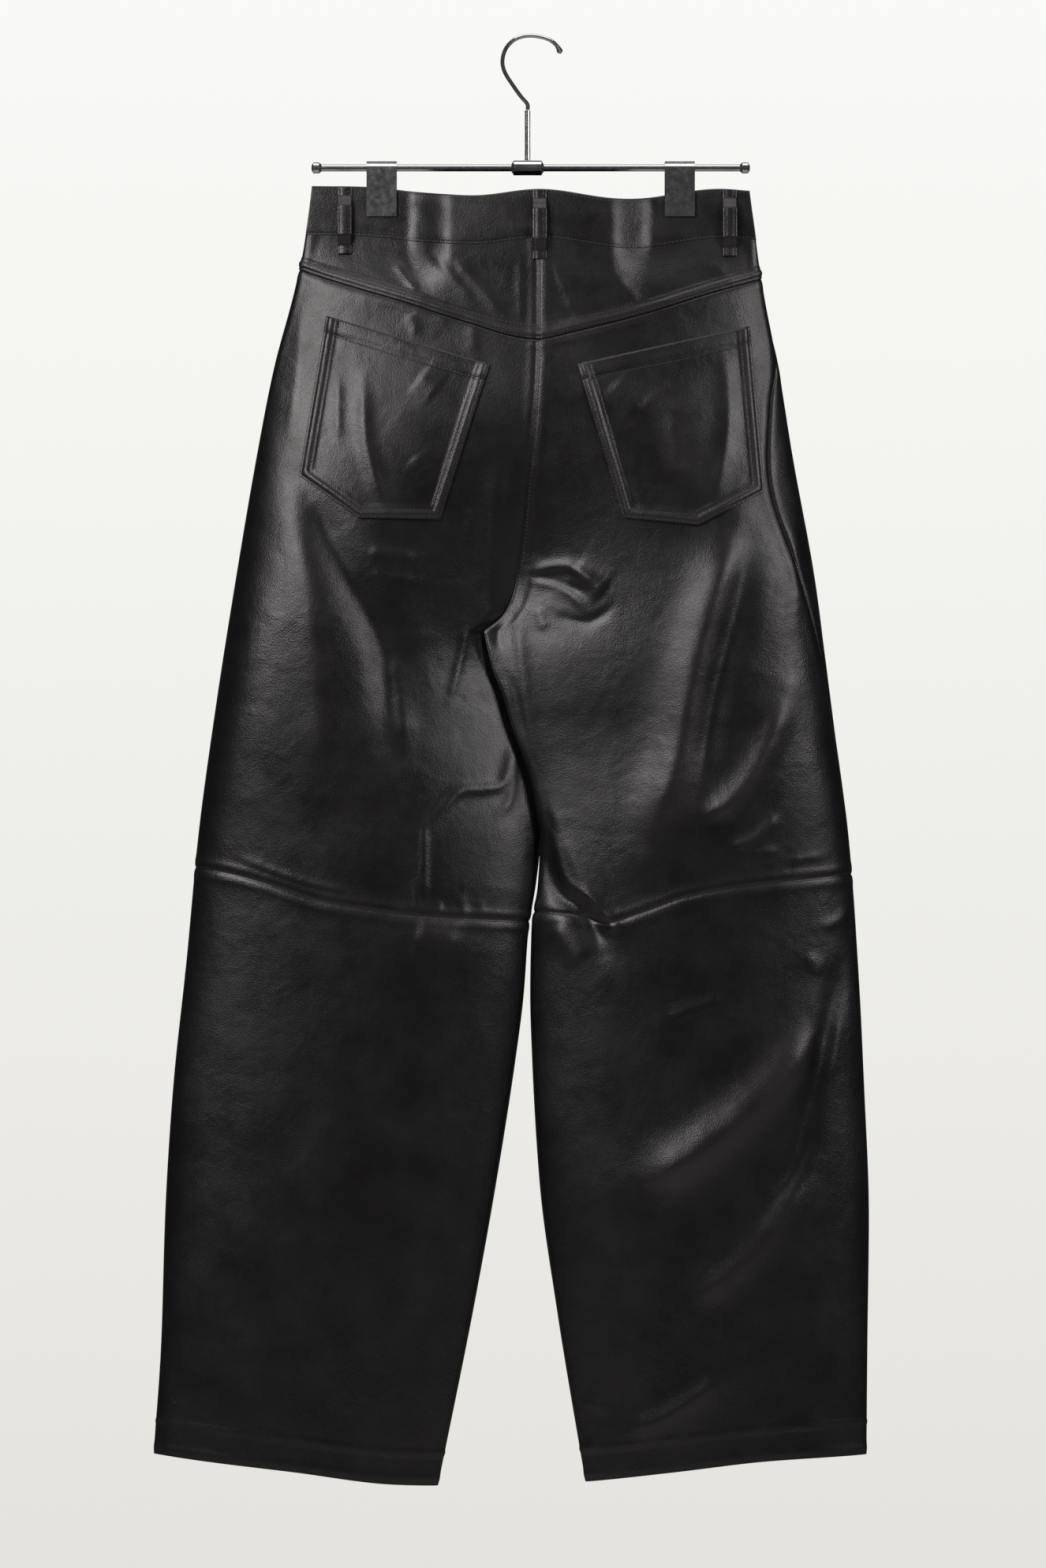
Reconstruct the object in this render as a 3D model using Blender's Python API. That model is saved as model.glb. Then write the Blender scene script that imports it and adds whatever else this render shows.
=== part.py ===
"""Leather trousers with barrel legs, hung by the waistband from a clip hanger.

Sizes are in millimetres and meshes are made in metres, +Z up. The origin is the inside of the
hook's top, where a rail carries the hanger. +X is the wearer's right, -Y the back of the
trousers and +Y the front. Each leather piece is a wall between an outer and an inner grid of
points, and both grids come from one description of the hung garment.
"""

import math
from collections import namedtuple

import bmesh
import bpy
import numpy as np

MM = 0.001
BACK, FRONT = -1, 1
LEFT, RIGHT = -1, 1

# Leather and sewing
WALL = 1.5
BAND_WALL = 2.2
SEAM = 0.3
HALF_SEAM = SEAM / 2
LIE = 0.6
BAND_HEIGHT = 40.0
BAND_LIFT = 0.7
HEM_DEPTH = 26.0
HEM_WALL = 1.2
HEM_LIFT = 0.8
LOOP_WIDTH = 11.0
LOOP_WALL = 1.6
LOOP_STAND = 6.6
LOOP_REST = 0.4
FLY_WIDTH = 36.0
FLY_LENGTH = 165.0
BUTTON_RADIUS = 8.5
BUTTON_THICK = 3.6
BUTTON_LIFT = 0.9

# Hanger
WIRE_RADIUS = 1.6
TIP_RADIUS = 2.6
STEM_RADIUS = 2.2
STEM_X = 0.5
STEM_TOP = -58.0
BAR_Z = -104.0
BAR_RADIUS = 2.8
BAR_LEFT, BAR_RIGHT = -172.0, 178.0
BOSS_RADIUS = 6.0
BOSS_HALF = 11.0
KNOB_RADIUS = 4.4
CLIPS = {"left": -116.0, "right": 122.0}
CLIP_WIDTH = 24.0
CLIP_WALL = 2.2
CLIP_BOTTOM = -143.0

# Crotch: the legs part below it, and the body's one section turns into two
CROTCH_Z = -474.0
BODY_END = -270.0
TOP_FLAT_END = -235.0
TOP_FLAT_START = -170.0
PINCH_IN = 62.0
PINCH_OUT = 100.0
PINCH_END = -215.0
PINCH_START = -150.0
PINCH_SHARE = 0.92
STEP = 0.02

Outline = namedtuple("Outline", "z left right")
OUTLINE = (
    Outline(-119, -171.4, 177.0),
    Outline(-160, -177.2, 182.9),
    Outline(-209, -187.7, 190.3),
    Outline(-260, -201.6, 200.3),
    Outline(-335, -216.1, 212.3),
    Outline(-436, -233.1, 230.6),
    Outline(-537, -248.9, 243.2),
    Outline(-638, -262.7, 257.0),
    Outline(-738, -272.2, 264.6),
    Outline(-839, -282.9, 269.6),
    Outline(-940, -289.2, 273.4),
    Outline(-1041, -292.3, 272.2),
    Outline(-1131, -298.6, 271.5),
)

# The seat seam, which both sides share, and below the crotch each leg's inner edge
SeatSeam = namedtuple("SeatSeam", "z back front")
SEAT_SEAM = (
    SeatSeam(-119, 10.1, 4.0),
    SeatSeam(-242, 9.5, 3.5),
    SeatSeam(-315, 5.7, 2.5),
    SeatSeam(-361, 0.8, 0.0),
    SeatSeam(-393, -2.1, -2.1),
    SeatSeam(-419, -5.7, -5.7),
    SeatSeam(-445, -11.3, -11.3),
    SeatSeam(-461, -18.9, -18.9),
    SeatSeam(CROTCH_Z, -34.4, -34.4),
)
InnerEdge = namedtuple("InnerEdge", "z left right")
INNER_EDGE = (
    InnerEdge(CROTCH_Z, -34.4, -34.4),
    InnerEdge(-490, -29.5, -31.0),
    InnerEdge(-505, -23.0, -27.1),
    InnerEdge(-524, -12.5, -19.5),
    InnerEdge(-552, -2.3, -11.3),
    InnerEdge(-590, 9.5, 1.9),
    InnerEdge(-618, 12.5, 7.6),
    InnerEdge(-637, 11.6, 10.5),
    InnerEdge(-675, 7.4, 8.7),
    InnerEdge(-713, 1.3, 3.5),
    InnerEdge(-764, -2.5, 2.5),
    InnerEdge(-814, -8.8, 4.0),
    InnerEdge(-915, -24.6, 10.1),
    InnerEdge(-1016, -42.8, 23.9),
    InnerEdge(-1157, -71.2, 47.3),
)

# Half depths from front to back, of the body's one section and of a leg's
Depth = namedtuple("Depth", "z body leg")
DEPTH = (
    Depth(-119, 15, 20),
    Depth(-209, 22, 26),
    Depth(-335, 34, 31),
    Depth(-474, 36, 33),
    Depth(-700, 36, 31),
    Depth(-900, 36, 30),
    Depth(-1157, 36, 20),
)

# The legs' inner edges: how blunt their section is, how flat they are pressed, and how far the
# right one stands behind the left one where they overlap
Inseam = namedtuple("Inseam", "z blunt pressed apart")
INSEAM = (
    Inseam(-430, 1.0, 0.0, 0.0),
    Inseam(-458, 1.0, 1.0, 1.2),
    Inseam(-474, 1.0, 1.0, 2.4),
    Inseam(-490, 1.0, 1.0, 4.0),
    Inseam(-510, 1.0, 1.0, 5.5),
    Inseam(-540, 1.0, 1.0, 7.0),
    Inseam(-600, 0.8, 0.8, 7.0),
    Inseam(-640, 0.62, 0.5, 5.5),
    Inseam(-690, 0.52, 0.2, 2.5),
    Inseam(-730, 0.5, 0.0, 0.0),
)

# How far round onto the back the right side seam swings, in degrees
Swing = namedtuple("Swing", "z degrees")
SWING = (
    Swing(-240, 0),
    Swing(-249, 3),
    Swing(-292, 27),
    Swing(-358, 38),
    Swing(-424, 28),
    Swing(-500, 12),
    Swing(-560, 4),
    Swing(-620, 0),
)

# Seams that run across, by how far along X
Across = namedtuple("Across", "x z")
WAIST_SEAM = (
    Across(-177, -158.5),
    Across(-141, -158.8),
    Across(-43, -167.0),
    Across(10, -161.9),
    Across(77, -169.5),
    Across(156, -160.7),
    Across(183, -162.5),
)
YOKE_SEAM = (
    Across(-181, -185.2),
    Across(-157, -193.4),
    Across(-94, -212.9),
    Across(-54, -226.2),
    Across(8, -241.5),
    Across(37, -235.6),
    Across(96, -220.5),
    Across(147, -204.1),
    Across(188, -192.2),
)
LEFT_KNEE = (
    Across(-264, -662.5),
    Across(-238, -667.2),
    Across(-207, -675.4),
    Across(-169, -688.0),
    Across(-133, -694.9),
    Across(-87, -700.6),
    Across(0, -705.8),
)
RIGHT_KNEE = (
    Across(8, -698.0),
    Across(33, -699.0),
    Across(62, -707.0),
    Across(90, -699.0),
    Across(127, -686.1),
    Across(171, -677.9),
    Across(260, -667.8),
)
LEFT_HEM = (
    Across(-299, -1130.2),
    Across(-260, -1135.3),
    Across(-185, -1144.1),
    Across(-109, -1154.2),
    Across(-71, -1156.1),
)
RIGHT_HEM = (
    Across(47, -1152.9),
    Across(118, -1144.1),
    Across(193, -1135.3),
    Across(272, -1130.9),
)

# Broad folds, as a crest or trough that runs through a few points
Fold = namedtuple("Fold", "face rise half route")
FOLDS = (
    Fold(BACK, 6, 22, ((158, -430), (140, -480), (121, -575), (95, -650))),
    Fold(BACK, 4, 15, ((209, -524), (184, -581), (159, -612), (134, -622))),
    Fold(BACK, 6, 22, ((215, -790), (165, -864), (115, -902), (83, -921))),
    Fold(BACK, 3, 15, ((158, -1066), (115, -1097), (77, -1113))),
    Fold(BACK, -4, 20, ((-156, -425), (-112, -493), (-108, -590))),
    Fold(BACK, -3, 13, ((-27, -330), (-29, -400), (-28, -455))),
    Fold(BACK, -5, 15, ((26, -650), (30, -700), (48, -735))),
    Fold(FRONT, 6, 22, ((-160, -380), (-128, -480), (-110, -600))),
    Fold(FRONT, 5, 20, ((118, -400), (146, -500), (158, -610))),
    Fold(FRONT, 6, 24, ((-215, -780), (-160, -850), (-95, -905))),
    Fold(FRONT, 4, 20, ((205, -840), (160, -915), (112, -950))),
)

# How the rows of points lie on each piece: levels at the inner edge, or shares of the height
SEAT_LEVELS = (-285, -325, -355, -385, -415, -442, -461, CROTCH_Z)
THIGH_LEVELS = (-490, -510, -535, -565, -600, -640, -672)
Row = namedtuple("Row", "top bottom share")
SHIN_SHARES = (0, 0.1, 0.21, 0.33, 0.45, 0.57, 0.69, 0.81, 0.943, 1)
YOKE_SHARES = (0, 0.35, 0.7, 1)
PANEL_COLUMNS = 10
BAND_COLUMNS = 24
CLIP_COLUMNS = (-21, -14, 14, 21)
LOOP_COLUMNS = (-6, 6)

Corner = namedtuple("Corner", "x z")
Pocket = namedtuple("Pocket", "side top_in top_out bottom_out bottom_mid bottom_in")
POCKETS = {
    "left": Pocket(
        LEFT,
        Corner(-29.6, -262.7),
        Corner(-159.4, -223.0),
        Corner(-180.8, -350.9),
        Corner(-133.6, -384.9),
        Corner(-69.3, -385.6),
    ),
    "right": Pocket(
        RIGHT,
        Corner(40.3, -262.1),
        Corner(177.0, -231.2),
        Corner(188.5, -363.5),
        Corner(136.1, -390.6),
        Corner(76.9, -384.3),
    ),
}
POCKET_COLUMNS = 7
POCKET_ROWS = 7
POCKET_MID_COLUMN = 4

Loop = namedtuple("Loop", "face x bottom")
LOOPS = {
    "back_left": Loop(BACK, -145.5, -172.6),
    "back_centre": Loop(BACK, 10.1, -177.7),
    "back_right": Loop(BACK, 161.9, -174.5),
    "front_left": Loop(FRONT, -57.0, -178.0),
    "front_right": Loop(FRONT, 65.0, -178.0),
}
LOOP_ROWS = 12
LOOP_SEWN = 0.1
LOOP_RISE = 0.3

HOOK_ROUTE = (
    (27.1, -12.6),
    (24.0, -6.5),
    (18.0, -1.6),
    (9.5, 1.0),
    (0.0, 1.6),
    (-9.5, -1.2),
    (-16.8, -8.5),
    (-19.6, -18.5),
    (-17.6, -27.7),
    (-11.3, -37.8),
    (-4.4, -47.4),
    (0.4, STEM_TOP + 5),
    (0.5, STEM_TOP + 2 * SEAM),
)


def curve(rows, key, value):
    """A smooth curve through two columns of a table, which never overshoots them."""
    knots = sorted((getattr(row, key), getattr(row, value)) for row in rows)
    at = np.array([knot[0] for knot in knots], float)
    height = np.array([knot[1] for knot in knots], float)
    run = np.diff(at)
    slope = np.diff(height) / run
    lean = np.concatenate([slope[:1], np.zeros(len(at) - 2), slope[-1:]])
    for i in range(1, len(at) - 1):
        if slope[i - 1] * slope[i] > 0:
            lean[i] = 2 / (1 / slope[i - 1] + 1 / slope[i])

    def value_at(where):
        where = np.clip(where, at[0], at[-1])
        i = np.clip(np.searchsorted(at, where, side="right") - 1, 0, len(run) - 1)
        s = (where - at[i]) / run[i]
        rising = height[i] * (1 + 2 * s) * (1 - s) ** 2 + height[i + 1] * (3 - 2 * s) * s**2
        return rising + run[i] * (lean[i] * s * (1 - s) ** 2 - lean[i + 1] * (1 - s) * s**2)

    return value_at


def ease(low, high, value):
    """Goes smoothly from 0 at low to 1 at high."""
    share = np.clip((value - low) / (high - low), 0, 1)
    return share * share * (3 - 2 * share)


side_edge = {LEFT: curve(OUTLINE, "z", "left"), RIGHT: curve(OUTLINE, "z", "right")}
seat_seam = {BACK: curve(SEAT_SEAM, "z", "back"), FRONT: curve(SEAT_SEAM, "z", "front")}
leg_edge = {LEFT: curve(INNER_EDGE, "z", "left"), RIGHT: curve(INNER_EDGE, "z", "right")}
body_depth = curve(DEPTH, "z", "body")
leg_depth = curve(DEPTH, "z", "leg")
blunt = curve(INSEAM, "z", "blunt")
pressed = curve(INSEAM, "z", "pressed")
apart = curve(INSEAM, "z", "apart")
swing = curve(SWING, "z", "degrees")
waist_seam = curve(WAIST_SEAM, "x", "z")
yoke_seam = curve(YOKE_SEAM, "x", "z")
knee_seam = {LEFT: curve(LEFT_KNEE, "x", "z"), RIGHT: curve(RIGHT_KNEE, "x", "z")}
hem_line = {LEFT: curve(LEFT_HEM, "x", "z"), RIGHT: curve(RIGHT_HEM, "x", "z")}


def inner_edge(side, face, z):
    """Where a leg's panel starts: on the seat seam above the crotch, on the inseam below."""
    edge = np.where(z >= CROTCH_Z, seat_seam[face](z), leg_edge[side](z))
    return edge + side * HALF_SEAM


def lens(share, start):
    """A leg's section from inner edge to side: 0 at both ends and 1 at its fullest."""
    peak = start / (start + 0.5)
    fullest = peak**start * (1 - peak) ** 0.5
    share = np.clip(share, 0, 1)
    return share**start * (1 - share) ** 0.5 / fullest


def pinch(x, z):
    """How flat the clips press the waist at and beyond them, from 0 to PINCH_SHARE."""
    middle_x = sum(CLIPS.values()) / len(CLIPS)
    near = ease(PINCH_IN, PINCH_OUT, np.abs(x - middle_x))
    return PINCH_SHARE * near * ease(PINCH_END, PINCH_START, z)


def body_half(x, z):
    """Half the body's depth above the crotch, without the walls."""
    left, right = side_edge[LEFT](z), side_edge[RIGHT](z)
    reach = (2 * x - left - right) / (right - left)
    return body_depth(z) * np.sqrt(np.clip(1 - reach**2, 0, 1)) * (1 - pinch(x, z))


def fold_height(face, x, z):
    """What the broad folds of one face add at a point."""
    total = np.zeros(np.broadcast(x, z).shape)
    for fold in FOLDS:
        nearest = np.full(total.shape, np.inf)
        for (x0, z0), (x1, z1) in zip(fold.route, fold.route[1:]):
            along = ((x - x0) * (x1 - x0) + (z - z0) * (z1 - z0)) / ((x1 - x0) ** 2 + (z1 - z0) ** 2)
            along = np.clip(along, 0, 1)
            gap = np.hypot(x - x0 - along * (x1 - x0), z - z0 - along * (z1 - z0))
            nearest = np.minimum(nearest, gap)
        total = total + np.where(face == fold.face, fold.rise * np.exp(-((nearest / fold.half) ** 2)), 0)
    return total


def cloth(side, face, turn, z):
    """Points of a leg's outer surface, from its inner edge at turn 0 to its side at turn 1.

    Past 1 it goes on round the side onto the other face.
    """
    share = (1 - np.cos(math.pi * turn)) / 2
    own = np.where((turn >= 0) & (turn <= 1), face, -face)
    inner = inner_edge(side, face, z)
    x = inner + (side_edge[side](z) - inner) * share
    split = 1 - ease(CROTCH_Z, BODY_END, z)
    flat = np.maximum(ease(TOP_FLAT_END, TOP_FLAT_START, z), pressed(z) * (1 - share) ** 6)
    half = (1 - split) * body_half(x, z) + split * leg_depth(z) * lens(share, blunt(z))
    half = half + flat * (WALL + HALF_SEAM)
    half = half + fold_height(own, x, z) * np.clip(np.sin(math.pi * turn), 0, 1)
    return np.stack([x, own * half + middle(side, share, z), z + 0 * x], axis=-1)


def middle(side, share, z):
    """How far a leg's inner edge stands off the middle plane, to pass the other leg's."""
    return -side * apart(z) * (1 - share) ** 3


def outward(side, face, turn, z):
    """Unit normals of the outer surface, pointing out of the garment."""
    low_end = np.where((z < CROTCH_Z) & (pressed(z) <= 0), -1, 0)
    high_end = np.where(z < TOP_FLAT_END, 2, 1)
    low, high = np.maximum(turn - STEP, low_end), np.minimum(turn + STEP, high_end)
    round_way = cloth(side, face, high, z) - cloth(side, face, low, z)
    up_way = cloth(side, face, turn, z + 1) - cloth(side, face, turn, z - 1)
    normal = np.cross(round_way, up_way) * (-face * side)
    return normal / np.linalg.norm(normal, axis=-1, keepdims=True)


def wall_below(side, face, turn, z, depth):
    """Points a depth inside the outer surface, kept on their own side of the middle plane."""
    points = cloth(side, face, turn, z) - depth * outward(side, face, turn, z)
    share = (1 - np.cos(math.pi * turn)) / 2
    mid = middle(side, share, z)
    off = (points[..., 1] - mid) * face
    kept = np.where(turn <= 1, np.maximum(off, HALF_SEAM), off)
    points[..., 1] = kept * face + mid
    edge = inner_edge(side, face, points[..., 2])
    points[..., 0] = side * np.maximum(side * points[..., 0], side * edge)
    return points


def turn_at(side, face, x, z):
    """The turn at which a leg's outer surface passes over a point of the XZ plane."""
    inner = inner_edge(side, face, z)
    share = np.clip((x - inner) / (side_edge[side](z) - inner), 0, 1)
    return np.arccos(1 - 2 * share) / math.pi


def on_cloth(side, face, x, z, lift):
    """Points a lift outside the cloth, over points of the XZ plane."""
    turn = turn_at(side, face, x, z)
    return cloth(side, face, turn, z) + lift * outward(side, face, turn, z)


def mesh_object(name, material, bm):
    bmesh.ops.recalc_face_normals(bm, faces=bm.faces)
    mesh = bpy.data.meshes.new(name)
    bm.to_mesh(mesh)
    bm.free()
    mesh.materials.append(material)
    mesh.shade_smooth()
    mesh.set_sharp_from_angle(angle=math.radians(40))
    obj = bpy.data.objects.new(name, mesh)
    bpy.context.collection.objects.link(obj)
    return obj


def shell(name, material, outer, inner, closed=False):
    """A wall between two grids of points; closed joins its last column to its first."""
    bm = bmesh.new()
    rows, columns = outer.shape[:2]
    grids = [
        [[bm.verts.new(point * MM) for point in row] for row in grid] for grid in (outer, inner)
    ]
    for grid in grids:
        for low, high in zip(grid, grid[1:]):
            for i in range(columns if closed else columns - 1):
                k = (i + 1) % columns
                bm.faces.new((low[i], low[k], high[k], high[i]))
    rims = [[(0, i) for i in range(columns)], [(rows - 1, i) for i in range(columns)]]
    if closed:
        rims = [rim + rim[:1] for rim in rims]
    else:
        rims += [[(j, 0) for j in range(rows)], [(j, columns - 1) for j in range(rows)]]
    for rim in rims:
        for (j0, i0), (j1, i1) in zip(rim, rim[1:]):
            bm.faces.new((grids[0][j0][i0], grids[0][j1][i1], grids[1][j1][i1], grids[1][j0][i0]))
    return mesh_object(name, material, bm)


def seam_turns(side, face, z):
    """The turns at which a panel starts and ends, half a seam short of its neighbours."""
    width = np.abs(side_edge[side](z) - inner_edge(side, face, z)) / 2
    swung = np.radians(swing(z)) if side == RIGHT else 0 * z
    pace = np.hypot(width * np.sin(swung), 0.94 * leg_depth(z))
    gap = HALF_SEAM / pace / math.pi
    return gap, 1 + face * swung / math.pi - gap


def row_of_points(side, face, row, steps):
    """The turns and heights of one row of a panel, at a share between two seams."""
    z = np.full(steps.shape, -400.0)
    for _ in range(12):
        start, end = seam_turns(side, face, z)
        turn = start + (end - start) * steps
        x = cloth(side, face, turn, z)[..., 0]
        z = row.top(x) + (row.bottom(x) - row.top(x)) * row.share
    return turn, z


def leg_panel(name, material, side, face, rows):
    """A leg's piece whose first and last rows stop half a seam short of their seams."""
    steps = np.linspace(0, 1, PANEL_COLUMNS + 1)
    pairs = [row_of_points(side, face, row, steps) for row in rows]
    turn, z = (np.array(part) for part in zip(*pairs))
    z[0] -= HALF_SEAM
    z[-1] += HALF_SEAM
    outer = cloth(side, face, turn, z)
    return shell(name, material, outer, wall_below(side, face, turn, z, WALL))


def level_shares(side, top, bottom):
    """Shares of the height whose rows meet the inner edge at SEAT_LEVELS and THIGH_LEVELS."""
    ends = []
    for seam in (top, bottom):
        z = seam(0.0)
        for _ in range(12):
            z = seam(inner_edge(side, BACK, z))
        ends.append(z)
    levels = SEAT_LEVELS + THIGH_LEVELS
    return [0] + [(level - ends[0]) / (ends[1] - ends[0]) for level in levels] + [1]


def build_legs(leather):
    for side, name in ((LEFT, "left"), (RIGHT, "right")):
        knee, hem = knee_seam[side], hem_line[side]
        yoke = [Row(waist_seam, yoke_seam, share) for share in YOKE_SHARES]
        thigh = [Row(yoke_seam, knee, share) for share in level_shares(side, yoke_seam, knee)]
        shin = [Row(knee, hem, share) for share in SHIN_SHARES]
        leg_panel(f"yoke_{name}", leather, side, BACK, yoke)
        leg_panel(f"back_upper_{name}", leather, side, BACK, thigh)
        leg_panel(f"back_lower_{name}", leather, side, BACK, shin)
        leg_panel(f"front_upper_{name}", leather, side, FRONT, yoke[:-1] + thigh)
        leg_panel(f"front_lower_{name}", leather, side, FRONT, shin)
        build_hem(f"hem_{name}", leather, side)


def build_hem(name, leather, side):
    """The turned-up leather inside a leg's end, as one band."""
    steps = np.linspace(0, 1, PANEL_COLUMNS + 1)
    grids = {WALL + LIE: [], WALL + LIE + HEM_WALL: []}
    for height in (HEM_LIFT, HEM_DEPTH / 2, HEM_DEPTH):
        for depth, rows in grids.items():
            row = []
            for face, turn in ((BACK, steps), (FRONT, steps[-2:0:-1])):
                z = np.full(turn.shape, hem_line[side](0.0))
                for _ in range(12):
                    z = hem_line[side](cloth(side, face, turn, z)[..., 0]) + height
                row.append(cloth(side, face, turn, z) - depth * outward(side, face, turn, z))
            rows.append(np.concatenate(row))
    outer, inner = (np.array(rows) for rows in grids.values())
    return shell(name, leather, outer, inner, closed=True)


def band_point(face, x, z, lift):
    """Points a lift outside the waistband's outer surface."""
    return np.stack([x, face * (BAND_WALL + HALF_SEAM + body_half(x, z) + lift), z + 0 * x], axis=-1)


def build_waistband(leather):
    left, right = side_edge[LEFT](-140.0), side_edge[RIGHT](-140.0)
    front_seam = seat_seam[FRONT](-140.0)
    for name, face, start, end in (
        ("waistband_back", BACK, left, right),
        ("waistband_front_left", FRONT, left, front_seam - HALF_SEAM),
        ("waistband_front_right", FRONT, front_seam + HALF_SEAM, right),
    ):
        steps = np.linspace(0, math.pi, BAND_COLUMNS + 1)
        x = (left + right) / 2 - (right - left) / 2 * np.cos(steps)
        stops = [(clip, CLIP_COLUMNS) for clip in CLIPS.values()]
        stops += [(loop.x, LOOP_COLUMNS) for loop in LOOPS.values() if loop.face == face]
        for centre, columns in stops:
            clear = np.abs(x - centre) > columns[-1] + 3
            x = np.concatenate([x[clear], centre + np.array(columns)])
        x = np.sort(x[(x > start + 2) & (x < end - 2)])
        x = np.concatenate([[start], x, [end]])
        low = waist_seam(x) + BAND_LIFT
        z = np.array([low + BAND_HEIGHT * share for share in (1, 0.5, 0)])
        lean_out = np.array([side_edge[RIGHT](row) - right for row in z])
        reach = (x - (left + right) / 2) / ((right - left) / 2)
        spread = x + lean_out * reach
        shell(name, leather, band_point(face, spread, z, 0), band_point(face, spread, z, -BAND_WALL))


def build_pocket(name, leather, pocket):
    """A patch pocket that follows the leg's back, a wall moved out from the cloth."""
    split = POCKET_MID_COLUMN / POCKET_COLUMNS
    grid = []
    for j in range(POCKET_ROWS + 1):
        down = j / POCKET_ROWS
        row = []
        for i in range(POCKET_COLUMNS + 1):
            s = i / POCKET_COLUMNS
            top = mix(pocket.top_in, pocket.top_out, s)
            if s <= split:
                bottom = mix(pocket.bottom_in, pocket.bottom_mid, s / split)
            else:
                bottom = mix(pocket.bottom_mid, pocket.bottom_out, (s - split) / (1 - split))
            row.append(mix(top, bottom, down))
        grid.append(row)
    x, z = (np.array([[getattr(point, axis) for point in row] for row in grid]) for axis in "xz")
    inner = on_cloth(pocket.side, BACK, x, z, LIE)
    return shell(name, leather, on_cloth(pocket.side, BACK, x, z, LIE + WALL), inner)


def mix(first, second, share):
    return Corner(*(a + (b - a) * share for a, b in zip(first, second)))


def build_loop(name, leather, loop):
    """A belt loop, sewn down at both ends and standing off the band between them."""
    share = np.linspace(0, 1, LOOP_ROWS + 1)[:, None]
    top = waist_seam(loop.x) + BAND_HEIGHT - 1
    z = top + (loop.bottom - top) * share
    x = loop.x + LOOP_WIDTH * np.array([[-0.5, 0.5]])
    x, z = np.broadcast_arrays(x, z)
    from_end = np.minimum(share, 1 - share)
    lift = LOOP_REST + (LOOP_STAND - LOOP_REST) * ease(LOOP_SEWN, LOOP_RISE, from_end)
    inner = band_point(loop.face, x, z, lift)
    return shell(name, leather, band_point(loop.face, x, z, lift + LOOP_WALL), inner)


def build_fly(leather):
    """The fly's facing, sewn on the right front beside the seam, with a curved lower end."""
    down = np.linspace(0, 1, 9)[:, None]
    width = FLY_WIDTH * np.sqrt(1 - 0.93 * down**4)
    top = waist_seam(15.0) - 3
    z = top - FLY_LENGTH * down
    x = seat_seam[FRONT](z) + 1.5 + width * np.linspace(0, 1, 4)[None, :]
    z = z + 0 * x
    inner = on_cloth(RIGHT, FRONT, x, z, LIE)
    return shell("fly", leather, on_cloth(RIGHT, FRONT, x, z, LIE + WALL), inner)


def turned(name, material, profile, sides, place):
    """A closed turned piece: profile rows are (along, radius), and place sets each point."""
    bm = bmesh.new()
    rings = []
    for along, radius in profile:
        ring = []
        for i in range(sides):
            angle = 2 * math.pi * i / sides
            point = place(along, radius * math.cos(angle), radius * math.sin(angle))
            ring.append(bm.verts.new(np.array(point) * MM))
        rings.append(ring)
    for low, high in zip(rings, rings[1:]):
        for i in range(sides):
            k = (i + 1) % sides
            bm.faces.new((low[i], low[k], high[k], high[i]))
    bm.faces.new(rings[0])
    bm.faces.new(rings[-1])
    return mesh_object(name, material, bm)


def build_button(metal):
    x = seat_seam[FRONT](-140.0) + 16.0
    z = waist_seam(x) + BAND_HEIGHT / 2
    back = BAND_WALL + HALF_SEAM + body_half(x, z) + BUTTON_LIFT
    rim = 0.8
    profile = (
        (0, BUTTON_RADIUS - rim),
        (rim, BUTTON_RADIUS),
        (BUTTON_THICK - rim, BUTTON_RADIUS),
        (BUTTON_THICK, BUTTON_RADIUS - rim),
    )
    return turned("button", metal, profile, 20, lambda y, u, v: (x + u, back + y, z + v))


def smooth_route(route, per_span):
    """Points of a Catmull-Rom curve through a route."""
    ends = [np.array(point, float) for point in (route[0], *route, route[-1])]
    points = []
    for a, b, c, d in zip(ends, ends[1:], ends[2:], ends[3:]):
        for i in range(per_span):
            t = i / per_span
            bend = (2 * a - 5 * b + 4 * c - d) * t**2 + (3 * b - a - 3 * c + d) * t**3
            points.append(b + ((c - a) * t + bend) / 2)
    return points + [ends[-1]]


def build_hook(metal):
    """The hook's wire in the XZ plane, with a small ball at its free end."""
    points = smooth_route(HOOK_ROUTE, 3)
    bm = bmesh.new()
    rings = []
    sides = 10
    run = 0.0
    for i, point in enumerate(points):
        before, after = points[max(i - 1, 0)], points[min(i + 1, len(points) - 1)]
        way = (after - before) / np.linalg.norm(after - before)
        run += np.linalg.norm(point - before)
        ball = math.sqrt(max(0.0, 1 - ((run - TIP_RADIUS) / (TIP_RADIUS + 0.1)) ** 2))
        radius = max(TIP_RADIUS * ball, WIRE_RADIUS * (run > TIP_RADIUS))
        ring = []
        for k in range(sides):
            angle = 2 * math.pi * k / sides
            out = radius * math.cos(angle)
            x, z = point[0] - way[1] * out, point[1] + way[0] * out
            ring.append(bm.verts.new((x * MM, radius * math.sin(angle) * MM, z * MM)))
        rings.append(ring)
    for low, high in zip(rings, rings[1:]):
        for k in range(sides):
            bm.faces.new((low[k], low[(k + 1) % sides], high[(k + 1) % sides], high[k]))
    bm.faces.new(rings[0])
    bm.faces.new(rings[-1])
    return mesh_object("hanger_hook", metal, bm)


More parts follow.
